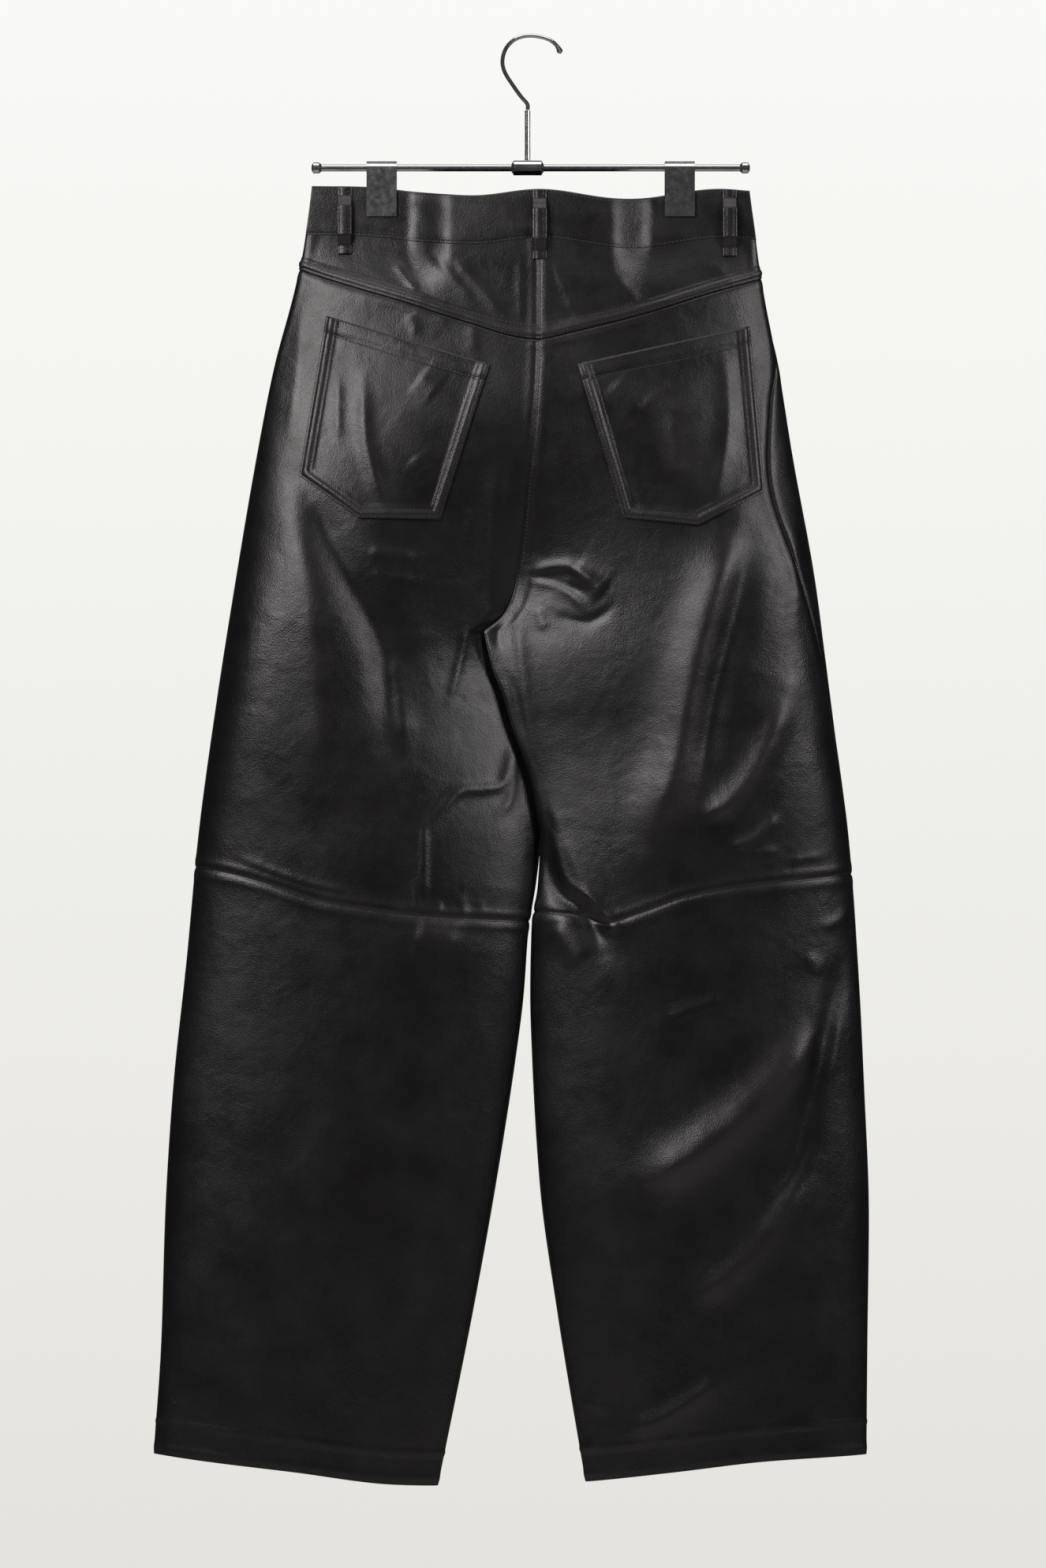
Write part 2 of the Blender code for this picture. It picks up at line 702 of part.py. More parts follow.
def build_bar(metal):
    """The stem, and the bar with its middle boss and end knobs."""
    seat = BAR_Z + BOSS_RADIUS + SEAM
    profile = ((STEM_TOP, STEM_RADIUS), (seat, STEM_RADIUS))
    turned("hanger_stem", metal, profile, 14, lambda z, u, v: (STEM_X + u, v, z))
    profile = [(BAR_LEFT, 2.0), (BAR_LEFT + 1.5, KNOB_RADIUS), (BAR_LEFT + 6, KNOB_RADIUS)]
    profile += [(BAR_LEFT + 8, BAR_RADIUS)]
    profile += [(STEM_X - BOSS_HALF - 2, BAR_RADIUS), (STEM_X - BOSS_HALF, BOSS_RADIUS)]
    profile += [(STEM_X + BOSS_HALF, BOSS_RADIUS), (STEM_X + BOSS_HALF + 2, BAR_RADIUS)]
    profile += [(BAR_RIGHT - 8, BAR_RADIUS)]
    profile += [(BAR_RIGHT - 6, KNOB_RADIUS), (BAR_RIGHT - 1.5, KNOB_RADIUS), (BAR_RIGHT, 2.0)]
    turned("hanger_bar", metal, profile, 14, lambda x, u, v: (x, u, BAR_Z + v))


def build_clip(name, metal, x):
    """A bent clip that sits over the bar, with a jaw on each side of the waistband."""
    z = waist_seam(x) + BAND_HEIGHT
    ends = np.array([x - CLIP_WIDTH / 2, x + CLIP_WIDTH / 2])
    heights = np.linspace(CLIP_BOTTOM, z, 5)[:, None]
    grip = BAND_WALL + HALF_SEAM + body_half(ends, heights).max() + LIE
    crown = BAR_Z + BAR_RADIUS + SEAM - grip
    grids = []
    for radius in (grip + CLIP_WALL, grip):
        arc = [math.pi * i / 10 for i in range(11)]
        path = [(-radius, CLIP_BOTTOM)]
        path += [(-radius * math.cos(a), crown + radius * math.sin(a)) for a in arc]
        path += [(radius, CLIP_BOTTOM)]
        grids.append(np.array([[(end, y, height) for end in ends] for y, height in path]))
    return shell(name, metal, grids[0], grids[1])


def principled(name, colour, roughness, metallic):
    material = bpy.data.materials.new(name)
    material.use_nodes = True
    shader = material.node_tree.nodes["Principled BSDF"]
    shader.inputs["Base Color"].default_value = (*colour, 1)
    shader.inputs["Roughness"].default_value = roughness
    shader.inputs["Metallic"].default_value = metallic
    return material


def main():
    for obj in list(bpy.data.objects):
        bpy.data.objects.remove(obj)
    leather = principled("black_leather", (0.012, 0.011, 0.012), 0.32, 0.0)
    trim = principled("dark_button", (0.02, 0.02, 0.021), 0.3, 0.6)
    steel = principled("bright_steel", (0.6, 0.6, 0.6), 0.22, 1.0)
    build_waistband(leather)
    build_legs(leather)
    for name, pocket in POCKETS.items():
        build_pocket(f"pocket_{name}", leather, pocket)
    for name, loop in LOOPS.items():
        build_loop(f"loop_{name}", leather, loop)
    build_fly(leather)
    build_button(trim)
    build_hook(steel)
    build_bar(steel)
    for name, x in CLIPS.items():
        build_clip(f"clip_{name}", steel, x)
    root = bpy.data.objects.new("trousers", None)
    bpy.context.collection.objects.link(root)
    for obj in bpy.data.objects:
        if obj.type == "MESH":
            obj.parent = root


main()
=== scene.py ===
"""The looks of the leather trousers on their clip hanger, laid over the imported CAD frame.

The leather is one hung garment form, cut into the same pieces as the CAD model and then given
creases, lapped and stitched seams, and a grained finish. Sizes are millimetres until a mesh is
made; the frame's own axes are kept, with -Y the back of the trousers, which the camera sees.
"""

import logging
import math
from collections import namedtuple
from collections.abc import Callable
from dataclasses import dataclass, field
from enum import Enum

import bpy
import numpy as np
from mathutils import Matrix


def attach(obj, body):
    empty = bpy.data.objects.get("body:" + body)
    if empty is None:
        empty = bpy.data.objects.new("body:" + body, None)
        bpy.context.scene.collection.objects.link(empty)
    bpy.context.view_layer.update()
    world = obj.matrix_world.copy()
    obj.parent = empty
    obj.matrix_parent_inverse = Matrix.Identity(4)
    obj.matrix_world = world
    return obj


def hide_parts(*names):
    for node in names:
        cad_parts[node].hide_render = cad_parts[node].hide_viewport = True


LOG = logging.getLogger("trousers")
Array = np.ndarray
Shape = Callable[[Array], Array]
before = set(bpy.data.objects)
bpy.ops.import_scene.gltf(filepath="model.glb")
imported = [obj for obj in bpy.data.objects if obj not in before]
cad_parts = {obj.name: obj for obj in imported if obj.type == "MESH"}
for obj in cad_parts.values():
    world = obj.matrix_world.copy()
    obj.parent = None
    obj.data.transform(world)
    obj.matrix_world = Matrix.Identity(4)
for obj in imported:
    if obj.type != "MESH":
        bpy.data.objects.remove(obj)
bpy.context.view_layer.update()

MM = 0.001
BACK, FRONT = -1, 1
LEFT, RIGHT = -1, 1

# Leather and sewing. Rows of stitches lie this far from an edge
ROW_NEAR = 1.6
ROW_FAR = 7.6
POCKET_HEM = 13.5
WALL = 1.5
BAND_WALL = 2.2
SEAM = 0.03
HALF_SEAM = SEAM / 2
LIE = 0.6
BAND_HEIGHT = 40.0
BAND_TUCK = 0.8
SPECKLES = 260.0
MOTTLES = 26.0
HEM_PUFF = 0.55
FADE_POWER = 0.7
CREASE_POWER = 1.7
THREAD_COLOUR = (0.02, 0.019, 0.02, 1)
FLOOR_Z = -1.75
FLOOR_HALF = 2.5
FLOOR_CORNERS = ((-1, -1), (1, -1), (1, 1), (-1, 1))
HEM_DEPTH = 26.0
HEM_WALL = 1.2
HEM_LIFT = 0.8
LOOP_WIDTH = 11.0
LOOP_WALL = 1.6
LOOP_STAND = 6.6
LOOP_REST = 0.4
FLY_WIDTH = 36.0
FLY_LENGTH = 165.0

# Crotch: the legs part below it, and the body's one section turns into two
CROTCH_Z = -474.0
PINCH_MIDDLE = 3.0
BODY_END = -270.0
TOP_FLAT_END = -235.0
TOP_FLAT_START = -170.0
PINCH_IN = 62.0
PINCH_OUT = 100.0
PINCH_END = -215.0
PINCH_START = -150.0
PINCH_SHARE = 0.92
STEP = 0.02

Outline = namedtuple("Outline", "z left right")
OUTLINE = (
    Outline(-119, -171.4, 177.0),
    Outline(-160, -177.2, 182.9),
    Outline(-209, -187.7, 190.3),
    Outline(-260, -201.6, 200.3),
    Outline(-335, -216.1, 212.3),
    Outline(-436, -233.1, 230.6),
    Outline(-537, -248.9, 243.2),
    Outline(-638, -262.7, 257.0),
    Outline(-738, -272.2, 264.6),
    Outline(-839, -282.9, 269.6),
    Outline(-940, -289.2, 273.4),
    Outline(-1041, -292.3, 272.2),
    Outline(-1131, -298.6, 271.5),
)

# The seat seam, which both sides share, and below the crotch each leg's inner edge
SeatSeam = namedtuple("SeatSeam", "z back front")
SEAT_SEAM = (
    SeatSeam(-119, 10.1, 4.0),
    SeatSeam(-242, 9.5, 3.5),
    SeatSeam(-315, 5.7, 2.5),
    SeatSeam(-361, 0.8, 0.0),
    SeatSeam(-393, -2.1, -2.1),
    SeatSeam(-419, -5.7, -5.7),
    SeatSeam(-445, -11.3, -11.3),
    SeatSeam(-461, -18.9, -18.9),
    SeatSeam(CROTCH_Z, -34.4, -34.4),
)
InnerEdge = namedtuple("InnerEdge", "z left right")
INNER_EDGE = (
    InnerEdge(CROTCH_Z, -34.4, -34.4),
    InnerEdge(-490, -29.5, -31.0),
    InnerEdge(-505, -23.0, -27.1),
    InnerEdge(-524, -12.5, -19.5),
    InnerEdge(-552, -2.3, -11.3),
    InnerEdge(-590, 9.5, 1.9),
    InnerEdge(-618, 12.5, 7.6),
    InnerEdge(-637, 11.6, 10.5),
    InnerEdge(-675, 7.4, 8.7),
    InnerEdge(-713, 1.3, 3.5),
    InnerEdge(-764, -2.5, 2.5),
    InnerEdge(-814, -8.8, 4.0),
    InnerEdge(-915, -24.6, 10.1),
    InnerEdge(-1016, -42.8, 23.9),
    InnerEdge(-1157, -71.2, 47.3),
)

# Half depths from front to back, of the body's one section and of a leg's
Depth = namedtuple("Depth", "z body leg")
DEPTH = (
    Depth(-119, 15, 20),
    Depth(-209, 22, 26),
    Depth(-335, 34, 31),
    Depth(-474, 36, 33),
    Depth(-700, 36, 31),
    Depth(-900, 36, 30),
    Depth(-1157, 36, 20),
)

# The legs' inner edges: how blunt their section is, how flat they are pressed, and how far the
# right one stands behind the left one where they overlap
Inseam = namedtuple("Inseam", "z blunt pressed apart")
INSEAM = (
    Inseam(-430, 1.0, 0.0, 0.0),
    Inseam(-458, 1.0, 1.0, 1.2),
    Inseam(-474, 1.0, 1.0, 2.4),
    Inseam(-490, 1.0, 1.0, 4.0),
    Inseam(-510, 1.0, 1.0, 5.5),
    Inseam(-540, 1.0, 1.0, 7.0),
    Inseam(-600, 0.8, 0.8, 7.0),
    Inseam(-640, 0.62, 0.5, 5.5),
    Inseam(-690, 0.52, 0.2, 2.5),
    Inseam(-730, 0.5, 0.0, 0.0),
)

# How far round onto the back the right side seam swings, in degrees
Swing = namedtuple("Swing", "z degrees")
SWING = (
    Swing(-240, 0),
    Swing(-249, 3),
    Swing(-292, 27),
    Swing(-358, 38),
    Swing(-424, 28),
    Swing(-500, 12),
    Swing(-560, 4),
    Swing(-620, 0),
)

# Seams that run across, by how far along X
Across = namedtuple("Across", "x z")
WAIST_SEAM = (
    Across(-177, -158.5),
    Across(-141, -158.8),
    Across(-43, -167.0),
    Across(10, -161.9),
    Across(77, -169.5),
    Across(156, -160.7),
    Across(183, -162.5),
)
YOKE_SEAM = (
    Across(-181, -185.2),
    Across(-157, -193.4),
    Across(-94, -212.9),
    Across(-54, -226.2),
    Across(8, -241.5),
    Across(37, -235.6),
    Across(96, -220.5),
    Across(147, -204.1),
    Across(188, -192.2),
)
LEFT_KNEE = (
    Across(-264, -662.5),
    Across(-238, -667.2),
    Across(-207, -675.4),
    Across(-169, -688.0),
    Across(-133, -694.9),
    Across(-87, -700.6),
    Across(0, -705.8),
)
RIGHT_KNEE = (
    Across(8, -698.0),
    Across(33, -699.0),
    Across(62, -707.0),
    Across(90, -699.0),
    Across(127, -686.1),
    Across(171, -677.9),
    Across(260, -667.8),
)
LEFT_HEM = (
    Across(-299, -1130.2),
    Across(-260, -1135.3),
    Across(-185, -1144.1),
    Across(-109, -1154.2),
    Across(-71, -1156.1),
)
RIGHT_HEM = (
    Across(47, -1152.9),
    Across(118, -1144.1),
    Across(193, -1135.3),
    Across(272, -1130.9),
)

Corner = namedtuple("Corner", "x z")
Pocket = namedtuple("Pocket", "side top_in top_out bottom_out bottom_mid bottom_in")
POCKETS = {
    "left": Pocket(
        LEFT,
        Corner(-29.6, -262.7),
        Corner(-159.4, -223.0),
        Corner(-180.8, -350.9),
        Corner(-133.6, -384.9),
        Corner(-69.3, -385.6),
    ),
    "right": Pocket(
        RIGHT,
        Corner(40.3, -262.1),
        Corner(177.0, -231.2),
        Corner(188.5, -363.5),
        Corner(136.1, -390.6),
        Corner(76.9, -384.3),
    ),
}

Loop = namedtuple("Loop", "face x bottom")
LOOPS = {
    "back_left": Loop(BACK, -145.5, -172.6),
    "back_centre": Loop(BACK, 10.1, -177.7),
    "back_right": Loop(BACK, 161.9, -174.5),
    "front_left": Loop(FRONT, -57.0, -178.0),
    "front_right": Loop(FRONT, 65.0, -178.0),
}
LOOP_SEWN = 0.1
LOOP_RISE = 0.3


# Creases, as crests (above 0) or troughs that run through a few points
Crease = namedtuple("Crease", "rise half route")
BACK_CREASES = (
    Crease(0.8, 4, ((-105.8, -177.7), (-86.9, -206))),
    Crease(0.8, 4, ((-75.6, -172.6), (-42.8, -212.3))),
    Crease(1.2, 4.5, ((-58.6, -177.7), (-27.1, -212.3), (-17.6, -221.8))),
    Crease(0.8, 3.5, ((-5, -177.7), (-5, -228))),
    Crease(0.8, 4, ((20.2, -177.7), (39, -221.8))),
    Crease(0.7, 5, ((70.6, -190.3), (89.5, -215.5))),
    Crease(0.7, 4, ((146, -177.7), (165, -196.6))),
    Crease(0.6, 5, ((-94.5, -221.8), (-86.9, -237.5))),
    Crease(0.6, 5, ((-42.8, -228), (-42.8, -253))),
    Crease(1.6, 6, ((-129.8, -272.2), (-127.9, -322.6), (-118.4, -360.4), (-110.9, -376))),
    Crease(0.8, 4, ((-149.9, -272), (-149.9, -322.6))),
    Crease(1.2, 12, ((-86.9, -272), (-70, -285))),
    Crease(0.8, 8, ((-90, -335), (-78, -350))),
    Crease(1.5, 14, ((68, -275), (92, -300))),
    Crease(1.5, 7, ((156.9, -253), (160, -310), (150, -370))),
    Crease(-1, 9, ((114.7, -297), (121, -348))),
    Crease(1, 6, ((-180, -222), (-183, -270), (-190, -322))),
    Crease(-5, 16, ((-180, -354), (-156, -404), (-112, -493), (-107.7, -563.9))),
    Crease(2.5, 18, ((-190.9, -347.8), (-168.8, -473.8), (-163.8, -599.8))),
    Crease(2, 9, ((-105.8, -492.7), (-96.4, -563.9))),
    Crease(0.9, 5, ((-127.9, -410.8), (-86.9, -415.8))),
    Crease(0.7, 4, ((-124.7, -430), (-88, -434))),
    Crease(0.9, 5, ((-49.1, -373), (-58.6, -410.8))),
    Crease(1.4, 3.5, ((-47.9, -467.5), (-52.3, -492.7), (-61.7, -530.5))),
    Crease(-3.5, 9, ((-17.6, -322.6), (-29, -410.8), (-30.2, -467.5))),
    Crease(2, 4.5, ((-11.3, -558.8), (-17.6, -593.5), (-33.4, -599.8), (-55.4, -602.9), (-75.6, -628.1))),
    Crease(1.4, 3.5, ((-8.2, -562), (-12.6, -606), (-23.9, -621.8))),
    Crease(1.4, 3, ((-81.9, -625), (-81.9, -688))),
    Crease(0.9, 2.6, ((-88.8, -669), (-86.9, -697.4))),
    Crease(0.8, 2.4, ((-71.2, -688), (-69.9, -700.6))),
    Crease(0.9, 2.6, ((-52.3, -684.8), (-49.1, -703.7))),
    Crease(0.6, 2.4, ((-36.5, -688), (-35.3, -700.6))),
    Crease(3, 14, ((-90, -712), (-52, -722))),
    Crease(0.7, 3, ((-231.8, -653.3), (-181.4, -672.2), (-134.2, -682.9))),
    Crease(0.5, 3, ((-285, -745), (-262, -750))),
    Crease(-2, 25, ((-30, -790), (-60, -950), (-85, -1080))),
    Crease(0.8, 3.5, ((-294.8, -1097), (-269.6, -1088))),
    Crease(1.8, 4, ((-1.9, -427.8), (32.8, -422.1), (58, -439.1))),
    Crease(1.3, 3.5, ((0, -432.8), (26.5, -439.1), (48.5, -458))),
    Crease(-1.2, 3, ((2.5, -430.3), (20.2, -434.7), (45.4, -443.5))),
    Crease(1, 3, ((7.6, -454.9), (13.9, -473.8))),
    Crease(-1.2, 4, ((20.2, -461.2), (48.5, -467.5), (67.4, -454.9))),
    Crease(2, 11, ((35, -425), (62, -445))),
    Crease(1.6, 4.5, ((-27.1, -480.1), (-17.6, -505.3), (-12.6, -536.8))),
    Crease(1.5, 6, ((-8.2, -454.9), (-3.8, -505.3), (2.5, -555.7), (13.9, -599.8))),
    Crease(1.2, 6, ((13.9, -599.8), (32.8, -650.2), (48.5, -681.7), (64.3, -710))),
    Crease(-6, 9, ((8, -636), (20, -676), (38, -694), (54, -712), (60, -730))),
    Crease(2, 4, ((14, -628), (22, -640), (31, -672), (49, -686), (66, -703), (74, -724))),
    Crease(3, 10, ((20, -707), (45, -738))),
    Crease(7, 20, ((168.2, -385.6), (149.3, -448.6), (133.6, -505.3), (121, -574.6), (102, -625), (94.5, -650.2))),
    Crease(-4, 12, ((177.7, -404.5), (165, -461), (149.3, -524), (136.7, -600))),
    Crease(4.5, 11, ((209, -524), (184, -581), (158.8, -612.4), (133.6, -621.8))),
    Crease(1.5, 6, ((213, -380), (215.5, -472))),
    Crease(2, 5, ((199.7, -618.7), (184, -637.6), (161.9, -647))),
    Crease(0.8, 3, ((177.7, -651.4), (199.7, -648.9))),
    Crease(0.8, 3, ((209, -656.5), (237.5, -653.3))),
    Crease(1.4, 4, ((256.4, -694.3), (250, -703.7), (234.4, -710))),
    Crease(1, 5, ((221.8, -732), (234.4, -747.8))),
    Crease(7, 20, ((234.4, -782.5), (209.2, -820.3), (165.1, -864.4), (114.7, -902.2), (83.2, -914.8))),
    Crease(-4, 10, ((257, -722), (248.9, -751), (237.5, -795), (225.5, -852.4), (213.6, -899.6), (184, -940))),
    Crease(3.5, 14, ((223.7, -899.6), (202.9, -940), (171.4, -977.8), (127.3, -1009.3))),
    Crease(2.5, 10, ((158.8, -1066), (114.7, -1097.5), (76.9, -1113.2))),
    Crease(1.2, 4, ((45, -1088), (61, -1094))),
    Crease(1.2, 4, ((46.6, -1125.8), (58, -1119.5))),
    Crease(1.5, 4, ((248.9, -781), (245, -807.7), (237.5, -836.6))),
    Crease(1.2, 6, ((110.9, -783), (158, -765.5))),
)
FRONT_CREASES = (
    Crease(6, 22, ((-160, -380), (-128, -480), (-110, -600))),
    Crease(5, 20, ((118, -400), (146, -500), (158, -610))),
    Crease(6, 24, ((-215, -780), (-160, -850), (-95, -905))),
    Crease(4, 20, ((205, -840), (160, -915), (112, -950))),
    Crease(1.2, 5, ((60, -182), (92, -228), (101, -262))),
    Crease(0.9, 4, ((-74, -180), (-101, -219))),
    Crease(1, 5, ((118, -181), (136, -240))),
    Crease(-2.5, 12, ((-158, -300), (-131, -395), (-104, -470))),
    Crease(1.6, 6, ((-42, -402), (-78, -433), (-121, -447))),
    Crease(1.8, 5, ((24, -415), (61, -437), (108, -444))),
    Crease(1.3, 4, ((-22, -447), (-55, -462), (-92, -500))),
    Crease(1.4, 4, ((18, -452), (50, -472), (77, -515))),
    Crease(-2, 10, ((188, -420), (172, -520), (181, -600))),
    Crease(1.5, 5, ((-190, -610), (-150, -640), (-108, -646))),
    Crease(1.2, 4, ((212, -628), (178, -651), (140, -655))),
    Crease(1, 4, ((-84, -664), (-79, -694))),
    Crease(0.9, 3.5, ((61, -671), (64, -697))),
    Crease(1.6, 7, ((-236, -735), (-201, -768))),
    Crease(-3, 12, ((-240, -820), (-190, -900), (-142, -945))),
    Crease(2, 9, ((-200, -1010), (-150, -1058), (-112, -1072))),
    Crease(2, 10, ((228, -1000), (186, -1058), (151, -1078))),
    Crease(1.2, 5, ((96, -1101), (131, -1118))),
    Crease(2.2, 8, ((-25, -640), (-48, -700), (-60, -770))),
    Crease(-2, 11, ((216, -760), (190, -812), (170, -830))),
)
CREASES = {BACK: BACK_CREASES, FRONT: FRONT_CREASES}


def curve(rows: tuple, key: str, value: str) -> Shape:
    """A smooth curve through two columns of a table, which never overshoots them.

    Args:
        rows: The table.
        key: The column that the curve runs along.
        value: The column that it gives.

    Returns:
        A function from places to values.
    """
    knots = sorted((getattr(row, key), getattr(row, value)) for row in rows)
    at = np.array([knot[0] for knot in knots], float)
    height = np.array([knot[1] for knot in knots], float)
    run = np.diff(at)
    slope = np.diff(height) / run
    lean = np.concatenate([slope[:1], np.zeros(len(at) - 2), slope[-1:]])
    for i in range(1, len(at) - 1):
        if slope[i - 1] * slope[i] > 0:
            lean[i] = 2 / (1 / slope[i - 1] + 1 / slope[i])

    def value_at(where: Array) -> Array:
        """The curve's height at some places."""
        where = np.clip(where, at[0], at[-1])
        i = np.clip(np.searchsorted(at, where, side="right") - 1, 0, len(run) - 1)
        s = (where - at[i]) / run[i]
        rising = height[i] * (1 + 2 * s) * (1 - s) ** 2 + height[i + 1] * (3 - 2 * s) * s**2
        return rising + run[i] * (lean[i] * s * (1 - s) ** 2 - lean[i + 1] * (1 - s) * s**2)

    return value_at


def softened(shape: Shape, spread: float = 11.0) -> Shape:
    """The same curve down the garment, blurred so that no band shows where pieces of it meet."""
    at = np.arange(-1200.0, -60.0, 1.0)
    reach = np.arange(-3 * spread, 3 * spread + 1)
    weight = np.exp(-0.5 * (reach / spread) ** 2)
    padded = np.pad(shape(at), int(3 * spread), mode="reflect", reflect_type="odd")
    edge = int(3 * spread)
    smooth = np.convolve(padded, weight / weight.sum(), mode="same")[edge:-edge]
    return lambda where: np.interp(where, at, smooth)


def ease(low: float, high: float, value: Array) -> Array:
    """Goes smoothly from 0 at low to 1 at high."""
    share = np.clip((value - low) / (high - low), 0, 1)
    return share * share * (3 - 2 * share)


def bump(centre: float, half: float, value: Array) -> Array:
    """A soft bump, 1 at its centre."""
    return np.exp(-(((value - centre) / half) ** 2))


side_edge = {
    LEFT: softened(curve(OUTLINE, "z", "left")),
    RIGHT: softened(curve(OUTLINE, "z", "right")),
}
seat_seam = {BACK: curve(SEAT_SEAM, "z", "back"), FRONT: curve(SEAT_SEAM, "z", "front")}
leg_edge = {LEFT: curve(INNER_EDGE, "z", "left"), RIGHT: curve(INNER_EDGE, "z", "right")}
body_depth = softened(curve(DEPTH, "z", "body"))
leg_depth = softened(curve(DEPTH, "z", "leg"))
blunt = curve(INSEAM, "z", "blunt")
pressed = curve(INSEAM, "z", "pressed")
apart = curve(INSEAM, "z", "apart")
swing = curve(SWING, "z", "degrees")
waist_seam = curve(WAIST_SEAM, "x", "z")
yoke_seam = curve(YOKE_SEAM, "x", "z")
knee_seam = {LEFT: curve(LEFT_KNEE, "x", "z"), RIGHT: curve(RIGHT_KNEE, "x", "z")}
hem_line = {LEFT: curve(LEFT_HEM, "x", "z"), RIGHT: curve(RIGHT_HEM, "x", "z")}


def inner_edge(side: int, face: int, z: Array) -> Array:
    """Where a leg's panel starts: on the seat seam above the crotch, on the inseam below."""
    edge = np.where(z >= CROTCH_Z, seat_seam[face](z), leg_edge[side](z))
    return edge + side * HALF_SEAM


soft_inner = {
    side: softened(lambda z, side=side: inner_edge(side, BACK, z), 24.0) for side in (LEFT, RIGHT)
}


def lens(share: Array, start: Array) -> Array:
    """A leg's section from inner edge to side: 0 at both ends and 1 at its fullest."""
    peak = start / (start + 0.5)
    fullest = peak**start * (1 - peak) ** 0.5
    share = np.clip(share, 0, 1)
    return share**start * (1 - share) ** 0.5 / fullest


def pinch(x: Array, z: Array) -> Array:
    """How flat the clips press the waist at and beyond them, from 0 to PINCH_SHARE."""
    near = ease(PINCH_IN, PINCH_OUT, np.abs(x - PINCH_MIDDLE))
    return PINCH_SHARE * near * ease(PINCH_END, PINCH_START, z)


def body_half(x: Array, z: Array) -> Array:
    """Half the body's depth above the crotch, without the walls."""
    left, right = side_edge[LEFT](z), side_edge[RIGHT](z)
    reach = (2 * x - left - right) / (right - left)
    return body_depth(z) * np.sqrt(np.clip(1 - reach**2, 0, 1)) * (1 - pinch(x, z))


def route_gap(x: Array, z: Array, route: tuple) -> tuple[Array, Array]:
    """How near points lie to a route, and how far along it their nearest place is.

    Args:
        x: Places across.
        z: Places up.
        route: The route's corners, as (x, z).

    Returns:
        The gaps in millimetres, and shares of the route's length from 0 to 1.
    """
    nearest = np.full(np.broadcast(x, z).shape, np.inf)
    place = np.zeros(nearest.shape)
    run = 0.0
    for (x0, z0), (x1, z1) in zip(route, route[1:]):
        length = math.hypot(x1 - x0, z1 - z0)
        along = np.clip(((x - x0) * (x1 - x0) + (z - z0) * (z1 - z0)) / length**2, 0, 1)
        gap = np.hypot(x - x0 - along * (x1 - x0), z - z0 - along * (z1 - z0))
        nearer = gap < nearest
        place = np.where(nearer, run + along * length, place)
        nearest = np.where(nearer, gap, nearest)
        run += length
    return nearest, place / run


def rounded(route: tuple, per_span: int = 4) -> tuple:
    """The same route with its corners rounded, as a Catmull-Rom curve through its points."""
    if len(route) < 3:
        return route
    ends = [np.array(point, float) for point in (route[0], *route, route[-1])]
    points = []
    for a, b, c, d in zip(ends, ends[1:], ends[2:], ends[3:]):
        for i in range(per_span):
            t = i / per_span
            bend = (2 * a - 5 * b + 4 * c - d) * t**2 + (3 * b - a - 3 * c + d) * t**3
            points.append(tuple(b + ((c - a) * t + bend) / 2))
    return tuple(points) + (route[-1],)


def creasing(face: int, x: Array, z: Array) -> Array:
    """What the creases of one face add at each point, in millimetres."""
    total = np.zeros(np.broadcast(x, z).shape)
    for crease in CREASES[face]:
        gap, place = route_gap(x, z, ROUTES[face][crease])
        taper = 0.25 + 0.75 * ease(0, 0.22, place) * (1 - ease(0.78, 1, place))
        total = total + crease.rise * taper * np.exp(-((gap / crease.half) ** CREASE_POWER))
    return total


ROUTES = {face: {crease: rounded(crease.route) for crease in CREASES[face]} for face in CREASES}


def middle(side: int, share: Array, z: Array) -> Array:
    """How far a leg's inner edge stands off the middle plane, to pass the other leg's."""
    return -side * apart(z) * (1 - share) ** 3


def cloth(side: int, face: int, turn: Array, z: Array) -> Array:
    """Points of a leg's outer surface, from its inner edge at turn 0 to its side at turn 1.

    Args:
        side: The wearer's side.
        face: The back or the front. Past turn 1 the points go on round onto the other one.
        turn: How far round.
        z: How high.

    Returns:
        Points in millimetres.
    """
    share = (1 - np.cos(math.pi * turn)) / 2
    own = np.where((turn >= 0) & (turn <= 1), face, -face)
    inner = inner_edge(side, face, z)
    x = inner + (side_edge[side](z) - inner) * share
    split = 1 - ease(CROTCH_Z, BODY_END, z)
    flat = np.maximum(ease(TOP_FLAT_END, TOP_FLAT_START, z), pressed(z) * (1 - share) ** 6)
    near = bump(CROTCH_Z, 75.0, z)
    line = soft_inner[side](z)
    calm = np.clip((x - line) / (side_edge[side](z) - line), 0, 1)
    full = lens((1 - near) * share + near * calm, blunt(z))
    full = full * (1 - near * (1 - ease(0, 0.06, share)))
    half = (1 - split) * body_half(x, z) + split * leg_depth(z) * full
    half = half + flat * (WALL + HALF_SEAM)
    return np.stack([x, own * half + middle(side, share, z), z + 0 * x], axis=-1)


def outward(side: int, face: int, turn: Array, z: Array) -> Array:
    """Unit normals of the outer surface, pointing out of the garment."""
    low_end = np.where((z < CROTCH_Z) & (pressed(z) <= 0), -1, 0)
    high_end = np.where(z < TOP_FLAT_END, 2, 1)
    low, high = np.maximum(turn - STEP, low_end), np.minimum(turn + STEP, high_end)
    round_way = cloth(side, face, high, z) - cloth(side, face, low, z)
    up_way = cloth(side, face, turn, z + 1) - cloth(side, face, turn, z - 1)
    normal = np.cross(round_way, up_way) * (-face * side)
    return normal / np.linalg.norm(normal, axis=-1, keepdims=True)


def relief(face: int, turn: Array, x: Array, z: Array) -> Array:
    """What the creases add to a leg's surface, fading out at its seams."""
    fade = np.clip(np.abs(np.sin(math.pi * turn)), 0, 1) ** FADE_POWER
    total = creasing(face, x, z)
    if np.any(turn > 1):
        total = np.where(turn > 1, creasing(-face, x, z), total)
    return total * fade


